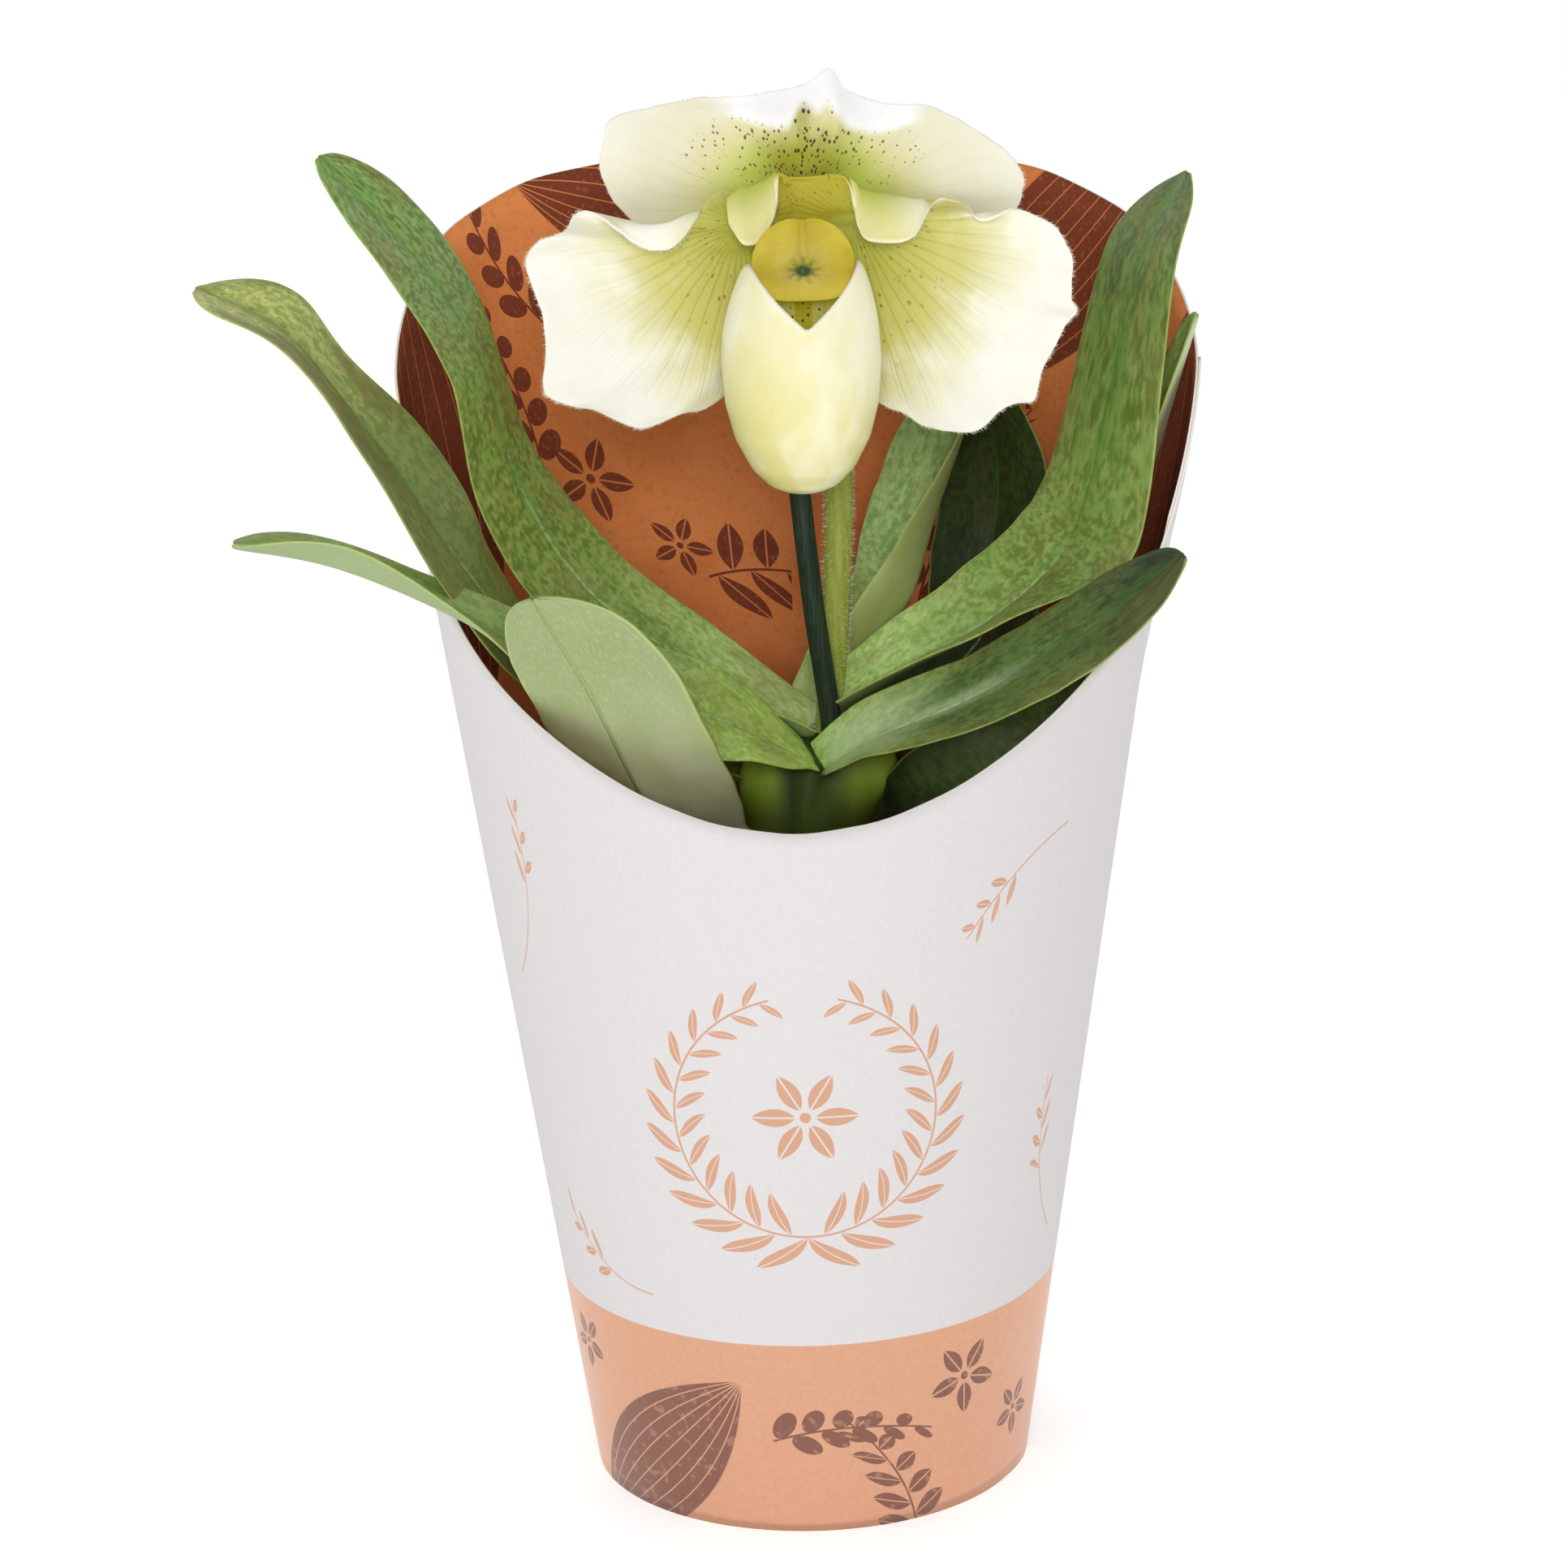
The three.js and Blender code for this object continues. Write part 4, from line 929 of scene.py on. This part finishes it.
def pouch_rim(turn):
    """Height of the rim at an angle from the front."""
    turn = abs(turn - MOUTH_SKEW)
    if turn < NOTCH_HALF_ANGLE:
        return POUCH_NOTCH + (POUCH_HORN - POUCH_NOTCH) * math.sin(math.pi / 2 * turn / NOTCH_HALF_ANGLE)
    past = min((turn - NOTCH_HALF_ANGLE) / HORN_ANGLE, 1)
    return POUCH_RIM_BACK + (POUCH_HORN - POUCH_RIM_BACK) * (1 + math.cos(math.pi * past)) / 2


def step_between(rows, key, column):
    for low, high in zip(rows, rows[1:]):
        if key <= high[0]:
            share = max((key - low[0]) / (high[0] - low[0]), 0)
            return low[column] + (high[column] - low[column]) * share
    return rows[-1][column]


POUCH_AROUND, POUCH_RINGS = 128, 96
pouch_mesh = bmesh.new()
bmesh.ops.create_uvsphere(pouch_mesh, u_segments=POUCH_AROUND, v_segments=POUCH_RINGS, radius=1)
near_rim = pouch_mesh.verts.layers.float.new("rim")
toe = POUCH_SECTIONS[0][0]
for face in pouch_mesh.faces:
    face.material_index = int(face.calc_center_median().z > 0)
for vert in pouch_mesh.verts:
    up = math.asin(max(-1, min(1, vert.co.z))) / (math.pi / 2)
    turn = math.degrees(math.atan2(vert.co.x, -vert.co.y)) if abs(up) < 0.9999 else 0
    outside = up <= 0
    inset = 0 if outside else POUCH_WALL
    height = (toe + inset) + (pouch_rim(turn) - toe - inset) * (1 - abs(up)) ** 1.35
    vert[near_rim] = math.exp((height - pouch_rim(turn)) / RIM_FADE)
    profile_height = height - inset * 0.8
    wide = max(step_between(POUCH_SECTIONS, profile_height, 1) - inset, 0)
    deep = max(step_between(POUCH_SECTIONS, profile_height, 2) - inset, 0)
    if abs(up) > 0.9999:
        wide = deep = 0
    middle = TOE_Y + (MOUTH_Y - TOE_Y) * (height - toe) / (POUCH_HORN - toe)
    angle = math.radians(turn)
    shift = MOUTH_SHIFT * min(max((height - SHIFT_FROM) / SHIFT_RISE, 0), 1)
    vert.co = Vector((POUCH_X + shift + wide * math.sin(angle), middle - deep * math.cos(angle), height)) * MM
bmesh.ops.smooth_vert(pouch_mesh, verts=pouch_mesh.verts, factor=0.5, use_axis_x=True, use_axis_y=True,
                      use_axis_z=True)

pouch_skin = Finish("pouch_skin", {"Roughness": 0.45, "Specular IOR Level": 0.35, "Subsurface Weight": 0.4,
                                   "Subsurface Radius": (1, 0.95, 0.7), "Subsurface Scale": 0.003,
                                   "Coat Weight": 0.05, "Coat Roughness": 0.35})
_, _, z = pouch_skin.split(pouch_skin.place)
cloud = pouch_skin.noise(pouch_skin.stretched(pouch_skin.place, (1, 1, 0.5)), 90, detail=3)
net = pouch_skin.noise(pouch_skin.stretched(pouch_skin.place, (1, 1, 0.35)), 420, detail=2)
lip = pouch_skin.node("ShaderNodeAttribute", {"attribute_name": "rim"}, output=2)
pouch_skin.shown("Base Color", pouch_skin.coats(
    (220, 212, 140),
    ((z / MM + cloud * 12).over(222, 262), (232, 226, 182)),
    (net.over(0.5, 0.68) * 0.18, (222, 216, 140)),
    # Pale soft patches: partly the wax's own mottle and partly a painted sheen.
    (cloud.over(0.46, 0.64) * 0.55, (243, 239, 214)),
    (cloud.over(0.46, 0.3) * 0.4, (218, 210, 132)),
    # Painted highlight along the thick rim.
    (lip.over(0.25, 0.8) * 0.8, (246, 244, 222))))
pouch_skin.relief(net * 0.5 + cloud, 0.00025)
pouch_lining = Finish("pouch_lining", {"Roughness": 0.5, "Specular IOR Level": 0.3, "Subsurface Weight": 0.7,
                                       "Subsurface Radius": (1, 0.8, 0.2), "Subsurface Scale": 0.01})
x, _, _ = pouch_lining.split(pouch_lining.place)
green_stripe = abs(x / MM - STRIPE_X).over(1.9, 1.5)
spots = pouch_lining.dots(pouch_lining.place, 900, 0.1, (0.3, 0.18), 0.6)
pouch_lining.shown("Base Color", pouch_lining.coats(
    (255, 244, 128), (green_stripe, (206, 196, 50)), (spots, (110, 48, 18))))
pouch_lining.relief(pouch_lining.cells(pouch_lining.place, 900), 0.0002)
piece_from("pouch_shell", pouch_mesh, [pouch_skin, pouch_lining], "pouch", "pouch")


# ---------------------------------------------------------------- staminode
# A glossy yellow shield caps the column in the flower's heart. It has a notch at its top, an olive
# groove down its middle and a small dark green star where a knob stands out of a dimple.

STAMINODE_CENTRE = (3.4, -23.4, 261)
STAMINODE_TILT = math.radians(14)
SHIELD_HALF_WIDTH, SHIELD_UP, SHIELD_DOWN = 10, 9.2, 7
SHIELD_THICKNESS = 1.6
STAR_V = 0.415  # the star's middle, as a share of the shield's height
STAR_RAYS = 9


def shield_point(x, y):
    """Maps the unit disc to the shield, whose lower half is squarer than its upper half."""
    reach = math.hypot(x, y)
    square = 1
    if y < 0 and reach > 0.001:
        square = (abs(x / reach) ** 3.2 + abs(y / reach) ** 3.2) ** (-1 / 3.2)
    across, y = x * square, y * square
    tall = SHIELD_UP if y > 0 else SHIELD_DOWN
    notch = 0.09 * math.exp(-(x / 0.16) ** 2) * max(y, 0) ** 6
    dome = 1.5 * (1 - reach ** 2)
    dimple = -0.8 * math.exp(-((x / 0.3) ** 2 + ((y + 0.17) / 0.26) ** 2))
    knob = 0.4 * math.exp(-((x / 0.1) ** 2 + ((y + 0.2) / 0.12) ** 2))
    groove = -0.2 * math.exp(-(x / 0.14) ** 2) * min(max(y, 0) * 4, 1)
    return Vector((across * SHIELD_HALF_WIDTH, -(dome + dimple + knob + groove), (y - notch) * tall))


shield_mesh = sheet_mesh(72, 72)
lean = Matrix.Rotation(-STAMINODE_TILT, 3, "X")
for vert in shield_mesh.verts:
    x, y = vert.co.x, vert.co.y * 2 - 1
    disc_x, disc_y = x * math.sqrt(1 - y * y / 2), y * math.sqrt(1 - x * x / 2)
    vert.co = (lean @ shield_point(disc_x, disc_y) + Vector(STAMINODE_CENTRE)) * MM
shield = Finish("shield", {"Roughness": 0.4, "Specular IOR Level": 0.3, "Subsurface Weight": 0.15,
                           "Subsurface Scale": 0.002, "Coat Weight": 0.06, "Coat Roughness": 0.25})
u, v, _ = shield.split(shield.sheet)
from_x = (u - 0.5) * 2
from_y = (v - STAR_V) * 2
ring = shield.maths("SQRT", from_x * from_x + from_y * from_y)
turn = shield.maths("ARCTAN2", from_y, from_x)
fuzz = shield.noise(shield.sheet, 22, detail=3) - 0.5
rays = abs(shield.maths("SINE", turn * (STAR_RAYS / 2) + 0.8 + fuzz * 0.9)) ** 2
star = (ring + fuzz * 0.14).over(0.27, 0.09) | rays * (ring + fuzz * 0.3).over(0.46, 0.08) * 0.8
glow = shield.noise(shield.sheet, 4, detail=2)
top_patch = abs(from_x).over(0.55, 0.1) * from_y.over(0.0, 0.4)
groove = abs(abs(from_x) - 0.09).over(0.05, 0.0) * from_y.over(0.25, 0.6)
shield.shown("Base Color", shield.coats(
    (192, 172, 40),
    (glow.over(0.3, 0.7), (204, 186, 54)),
    # Painted light: the lower half of the shield is painted lighter.
    (from_y.over(-0.1, -0.7), (238, 220, 90)),
    (top_patch * 0.6, (180, 158, 26)),
    (groove * 0.35, (164, 128, 24)),
    ((ring + fuzz * 0.2).over(0.46, 0.12) * 0.5, (160, 154, 22)),
    (star, (42, 70, 4))))
shield.relief(shield.noise(shield.sheet, 60, detail=2), 0.0001)
thickened(piece_from("staminode_shield", shield_mesh, [shield], "staminode", "staminode"), SHIELD_THICKNESS)


# ---------------------------------------------------------------- card sleeve
# A tall sleeve of thin card, rolled to a cone and glued at one lap, cut low in front. Outside it is
# white with a copper band round its foot and printed sprigs, and inside it is printed brown.

SLEEVE_FOOT_RADIUS, SLEEVE_FLARE = 45, 0.1457  # the flare is millimetres out for each one up
CARD = 0.5
BULGE_FROM, BULGE_RISE, BULGE = 165, 60, 3.5  # where the leaves push the card out, at the right of the mouth
LAP_FROM, LAP_TO, LAP_RISE = 77, 92, 12  # in degrees from the front
# Degrees from the front and the height of the rim there.
SLEEVE_RIM = [(0, 158), (14, 160), (27, 165), (38, 171), (48, 177), (57, 183), (67, 191), (75, 202), (82, 217),
              (88, 231), (102, 241), (121, 254), (140, 260), (180, 262.5)]
BAND_TOP = 43.8
SLEEVE_TOP = 262.4
SLEEVE_AROUND, SLEEVE_UP = 375, 44


def rim_height(turn):
    turn = abs((turn + 180) % 360 - 180)
    return sum(step_between(SLEEVE_RIM, abs(turn + shift), 1) for shift in (-3, -1, 1, 3)) / 4


def sleeve_radius(height, turn):
    push = max(math.sin(math.radians(turn)), 0) ** 4
    risen = min(max((height - BULGE_FROM) / BULGE_RISE, 0), 1)
    return SLEEVE_FOOT_RADIUS + SLEEVE_FLARE * height + BULGE * push * risen ** 2 * (3 - 2 * risen)


sleeve_mesh = sheet_mesh(SLEEVE_AROUND, SLEEVE_UP)
for vert in sleeve_mesh.verts:
    turn = LAP_FROM + (360 + LAP_TO - LAP_FROM) * (vert.co.x + 1) / 2
    height = min(rim_height(turn), SLEEVE_TOP) * vert.co.y
    lapped = min(max((turn - (360 + LAP_FROM - LAP_RISE)) / LAP_RISE, 0), 1)
    radius = sleeve_radius(height, turn) - CARD / 2 + CARD * 1.05 * lapped
    vert.co = Vector((radius * math.sin(math.radians(turn)), -radius * math.cos(math.radians(turn)), height)) * MM


def sleeve_coordinates(finish):
    """The distance round the sleeve from the front and the height, both in millimetres."""
    x, y, z = finish.split(finish.place)
    height = z / MM
    turn = finish.maths("ARCTAN2", x, y * -1)
    return turn * (height * SLEEVE_FLARE + SLEEVE_FOOT_RADIUS), height


def sprig(along, off, length, pitch, leaf_length, leaf_width, slant=0.9, stalk=0.28, bare=0.0, berries=False):
    """A stalk with leaves or round berries on both sides, from bare on. along and off are millimetres."""
    side = abs(off)
    shift = off.over(-0.01, 0.01) * (pitch / 2)
    shrink = 1 - along * (0.5 / length)
    start = along - side * slant + shift
    cell = start % pitch - pitch / 2
    half = shrink * (leaf_length / 2)
    p = (side - half) / half
    q = abs(cell) / (shrink * (leaf_width / 2))
    body = (1 - p * p - q * q).over(0.0, 0.1) if berries else (1 - p * p - q).over(0.0, 0.08) * q.over(0.03, 0.1)
    leaves = body * start.over(bare, bare + 0.3) * start.over(length, length - 0.3)
    line = side.over(stalk, stalk * 0.6) * along.over(-2.2, -2) * along.over(length, length - 0.3)
    return leaves | line


def turned(across, up, x, z, angle, bend=0.0):
    """Coordinates along and off a line that starts at x, z and is bent like a bow."""
    cos, sin = math.cos(math.radians(angle)), math.sin(math.radians(angle))
    dx, dz = across - x, up - z
    along = dx * cos + dz * sin
    return along, dz * cos - dx * sin - along * along * bend


def leaf_print(across, up, x, z, angle, length, width, veins):
    """A big single leaf. Its midrib and the veins that bow from its foot to its tip are left unprinted."""
    along, off = turned(across, up, x, z, angle)
    p = along / (length / 2)
    bow = 1 - p * p
    q = abs(off) / (width / 2)
    body = (bow - q).over(0.0, 0.03)
    place = q / (bow | 0.05)
    line = abs((place * veins + 0.5) % 1.0 - 0.5) * bow * (width / 2 / veins)
    return body * line.over(0.06, 0.2)


def blossom(finish, across, up, x, z, petals, reach):
    """A round flower of pointed petals, with a dot in its middle."""
    dx, dz = across - x, up - z
    spoke = finish.maths("SQRT", dx * dx + dz * dz)
    step = math.pi / petals
    off = abs(finish.maths("ARCTAN2", dx, dz) % (2 * step) - step) * spoke * (2.7 / reach / step)
    place = (spoke - reach * 0.58) / (reach * 0.42)
    return (1 - place * place - off).over(0.0, 0.08) * off.over(0.03, 0.14) | spoke.over(reach * 0.12, reach * 0.09)


def plant_print(finish, leaves, blossoms, sprigs, length, pitch, leaf_length, berry, width, stalk):
    """Big leaves, round flowers and sprigs of leaves or berries, all in one ink.

    A leaf is x, z, direction, length, width and veins. A flower is x, z, petals and reach. A sprig is
    x, z, direction, bend and whether it bears berries.
    """
    across, up = sleeve_coordinates(finish)
    ink = [leaf_print(across, up, *leaf) for leaf in leaves]
    ink += [blossom(finish, across, up, *flower) for flower in blossoms]
    for x, z, angle, bend, berries in sprigs:
        line, off = turned(across, up, x, z, angle, bend)
        ink.append(sprig(line, off, length, pitch, berry if berries else leaf_length, width, slant=0.5, stalk=stalk,
                         berries=berries))
    return reduce(Signal.__or__, ink)


WREATH_RADIUS, WREATH_HEIGHT, WREATH_LENGTH = 27, 96, 78
# x, z, direction, bend, whole length and bare length.
TENDRILS = [(-70, 118, 58, 0.016, 34, 19), (62, 58, 122, -0.016, 32, 17), (60, 150, 196, 0.012, 30, 15),
            (-36, 52, 176, -0.02, 24, 9), (-104, 92, 70, 0.012, 34, 12), (104, 110, 110, -0.012, 34, 12),
            (-128, 176, 96, -0.01, 34, 10), (132, 182, 84, 0.01, 34, 10), (-150, 70, 80, -0.012, 36, 12),
            (152, 84, 100, 0.012, 36, 12), (-196, 200, 88, 0.01, 36, 10), (200, 150, 92, -0.01, 36, 10)]

card_outside = Finish("card_outside", {"Specular IOR Level": 0.4})
across, up = sleeve_coordinates(card_outside)
from_middle = up - WREATH_HEIGHT
spoke = card_outside.maths("SQRT", across * across + from_middle * from_middle)
round_turn = abs(card_outside.maths("ARCTAN2", across, from_middle * -1))
wreath = sprig(round_turn * WREATH_RADIUS, spoke - WREATH_RADIUS, WREATH_LENGTH, 6.6, 9.5, 4.4)
copper_print = wreath | blossom(card_outside, across, up, 0, WREATH_HEIGHT, 6, 11)
for x, z, angle, bend, length, bare in TENDRILS:
    line, off = turned(across, up, x, z, angle, bend)
    copper_print = copper_print | sprig(line, off, length, 5, 6.4, 3.4, stalk=0.2, bare=bare)
foil_print = plant_print(
    card_outside,
    leaves=[(-35, 12, 48, 62, 27, 4), (82, 10, 60, 62, 26, 4), (150, 12, 128, 62, 26, 4), (-150, 14, 52, 62, 26, 4)],
    blossoms=[(34, 31, 5, 9), (51, 17, 5, 7), (-58, 33, 5, 7)],
    sprigs=[(-6, 22, 18, -0.012, True), (22, -2, 96, 0.014, False), (-112, 6, 70, 0.012, True),
            (-84, 8, 100, -0.012, False), (112, 30, -12, 0.012, True)],
    length=30, pitch=6, leaf_length=9, berry=6, width=5.4, stalk=0.3)
worn = card_outside.noise(card_outside.place, 500, detail=4)
foil_print = foil_print * (1 - worn.over(0.56, 0.66) * 0.3)
band = up.over(BAND_TOP + 0.15, BAND_TOP - 0.15)
fibres = card_outside.noise(card_outside.place, 900, detail=3)
paper = card_outside.coats((207, 203, 203), (fibres.over(0.3, 0.7), (210, 206, 206)), (copper_print, (200, 152, 124)))
foil = card_outside.coats((210, 157, 127), (fibres.over(0.3, 0.7), (214, 162, 132)), (foil_print, (126, 82, 66)))
card_outside.shown("Base Color", card_outside.mix(band, paper, foil))
card_outside.shown("Metallic", band * (1 - foil_print) * 0.6)
card_outside.shown("Roughness", 0.62 - band * 0.3)
card_outside.relief(fibres, 0.00002, 0.4)

card_inside = Finish("card_inside", {"Roughness": 0.8, "Specular IOR Level": 0.2})
_, up = sleeve_coordinates(card_inside)
# The print is the sleeve's own design. Some of its big leaves are set where the inside lies in deep shade, on the
# right and left walls, so there they also stand in for painted shade.
inside_print = plant_print(
    card_inside,
    leaves=[(186, 244, 118, 84, 42, 5), (-226, 250, 20, 60, 32, 4), (118, 186, 72, 128, 74, 3),
            (-138, 206, 104, 116, 46, 3)],
    blossoms=[(-186, 196, 5, 10), (-199, 179, 5, 7)],
    sprigs=[(-176, 204, 100, -0.008, True), (-204, 172, 172, 0.01, False), (-190, 232, 60, 0.01, True),
            (190, 168, 80, 0.01, True)],
    length=40, pitch=7.4, leaf_length=12, berry=7, width=6.4, stalk=0.35)
fibres = card_inside.noise(card_inside.place, 900, detail=4)
cloud = card_inside.noise(card_inside.place, 45, detail=3)
worn = fibres.over(0.56, 0.7) * 0.3
card_inside.shown("Base Color", card_inside.coats(
    (222, 130, 70),
    (cloud.over(0.35, 0.65), (234, 143, 82)),
    (fibres.over(0.5, 0.75) * 0.3, (160, 84, 42)),
    # Painted shade: the inside turns dark brown from 160 mm down, where little light reaches deep in the sleeve.
    (up.over(160, 124) * 0.9, (44, 26, 12)),
    (inside_print * (1 - worn), (128, 62, 40))))
card_inside.relief(fibres, 0.00006, 0.6)

card_edge = Finish("card_edge", {"Roughness": 0.8, "Specular IOR Level": 0.2})
pulp = card_edge.noise(card_edge.place, 2000, detail=3)
_, _, level = card_edge.split(card_edge.place)
card_edge.shown("Base Color", card_edge.coats(
    (226, 220, 212), (pulp, (244, 240, 234)), ((level / MM).over(BAND_TOP + 1, BAND_TOP), (74, 38, 26))))
sleeve = piece_from("sleeve_card", sleeve_mesh, [card_outside, card_inside, card_edge], "card", "card_sleeve")
wall = sleeve.modifiers.new("card", "SOLIDIFY")
wall.thickness = CARD * MM
wall.offset = 0
wall.material_offset = 1
wall.material_offset_rim = 2


# ---------------------------------------------------------------- floor, lights and camera
# A white floor, a broad soft light from above and in front with a weaker one from the left, and the
# camera a little above the flower.

FLOOR_REACH = 6  # from the middle to its sides, in metres
floor_mesh = bmesh.new()
bmesh.ops.create_grid(floor_mesh, x_segments=1, y_segments=1, size=FLOOR_REACH)
floor_paper = Finish("floor_paper", {"Base Color": (0.9, 0.9, 0.9, 1), "Roughness": 0.9, "Specular IOR Level": 0.1,
                                     "Emission Color": (1, 1, 1, 1), "Emission Strength": 0.42})
floor = placed("floor", mesh_data("floor", floor_mesh, [floor_paper]))

# White screens stand behind the plant and at its sides, and the ceiling is dimmer.
SCREENS, FRONT, CEILING = 1.15, 0.5, 0.4
world = bpy.data.worlds.new("studio")
bpy.context.scene.world = world
world.use_nodes = True
sky = world.node_tree
towards, parts, around, overhead, strength = (sky.nodes.new("ShaderNode" + kind) for kind in (
    "TexCoord", "SeparateXYZ", "MapRange", "MapRange", "Mix"))
# The first two numbers of a ramp are directions, from -1 to 1, and the other two are what it gives there.
for ramp, *values in ((around, -0.6, 0.3, FRONT, SCREENS), (overhead, 0.35, 0.9, 0, 1)):
    for key, value in zip(("From Min", "From Max", "To Min", "To Max"), values):
        ramp.inputs[key].default_value = value
strength.inputs["B"].default_value = CEILING
background = sky.nodes["Background"]
background.inputs["Color"].default_value = (1, 1, 1, 1)
for start, outlet, end, inlet in (
        (towards, "Generated", parts, "Vector"), (parts, "Y", around, "Value"), (parts, "Z", overhead, "Value"),
        (overhead, "Result", strength, "Factor"), (around, "Result", strength, "A"),
        (strength, "Result", background, "Strength")):
    sky.links.new(start.outputs[outlet], end.inputs[inlet])

AIM = Vector((-0.0027, 0, 0.1466))


def aimed(name, data, place, roll=0.0):
    """Puts a light or a camera at a place and turns it towards the middle of the plant."""
    made = placed(name, data)
    made.location = place
    made.rotation_mode = "QUATERNION"
    towards = (AIM - made.location).to_track_quat("-Z", "Y")
    made.rotation_quaternion = towards @ Matrix.Rotation(roll, 3, "Z").to_quaternion()
    return made


def soft_light(name, place, size, power):
    lamp = bpy.data.lights.new(name, "AREA")
    lamp.shape = "DISK"
    lamp.size = size
    lamp.energy = power
    aimed(name, lamp, place)


soft_light("key", (0, -2.4, 1.1), 0.8, 25.6)
soft_light("fill", (-1.6, -1.9, 1.0), 1.4, 6)

VIEW_ELEVATION = math.radians(18)
VIEW_ROLL = math.radians(-1.33)
VIEW_DISTANCE = 1.3
camera_data = bpy.data.cameras.new("camera")
camera_data.sensor_width = 36
camera_data.lens = 145.78
camera_data.clip_start = 0.05
outwards = Vector((0, -math.cos(VIEW_ELEVATION), math.sin(VIEW_ELEVATION)))
bpy.context.scene.camera = aimed("camera", camera_data, AIM + outwards * VIEW_DISTANCE, VIEW_ROLL)
bpy.context.scene.view_settings.view_transform = "Standard"
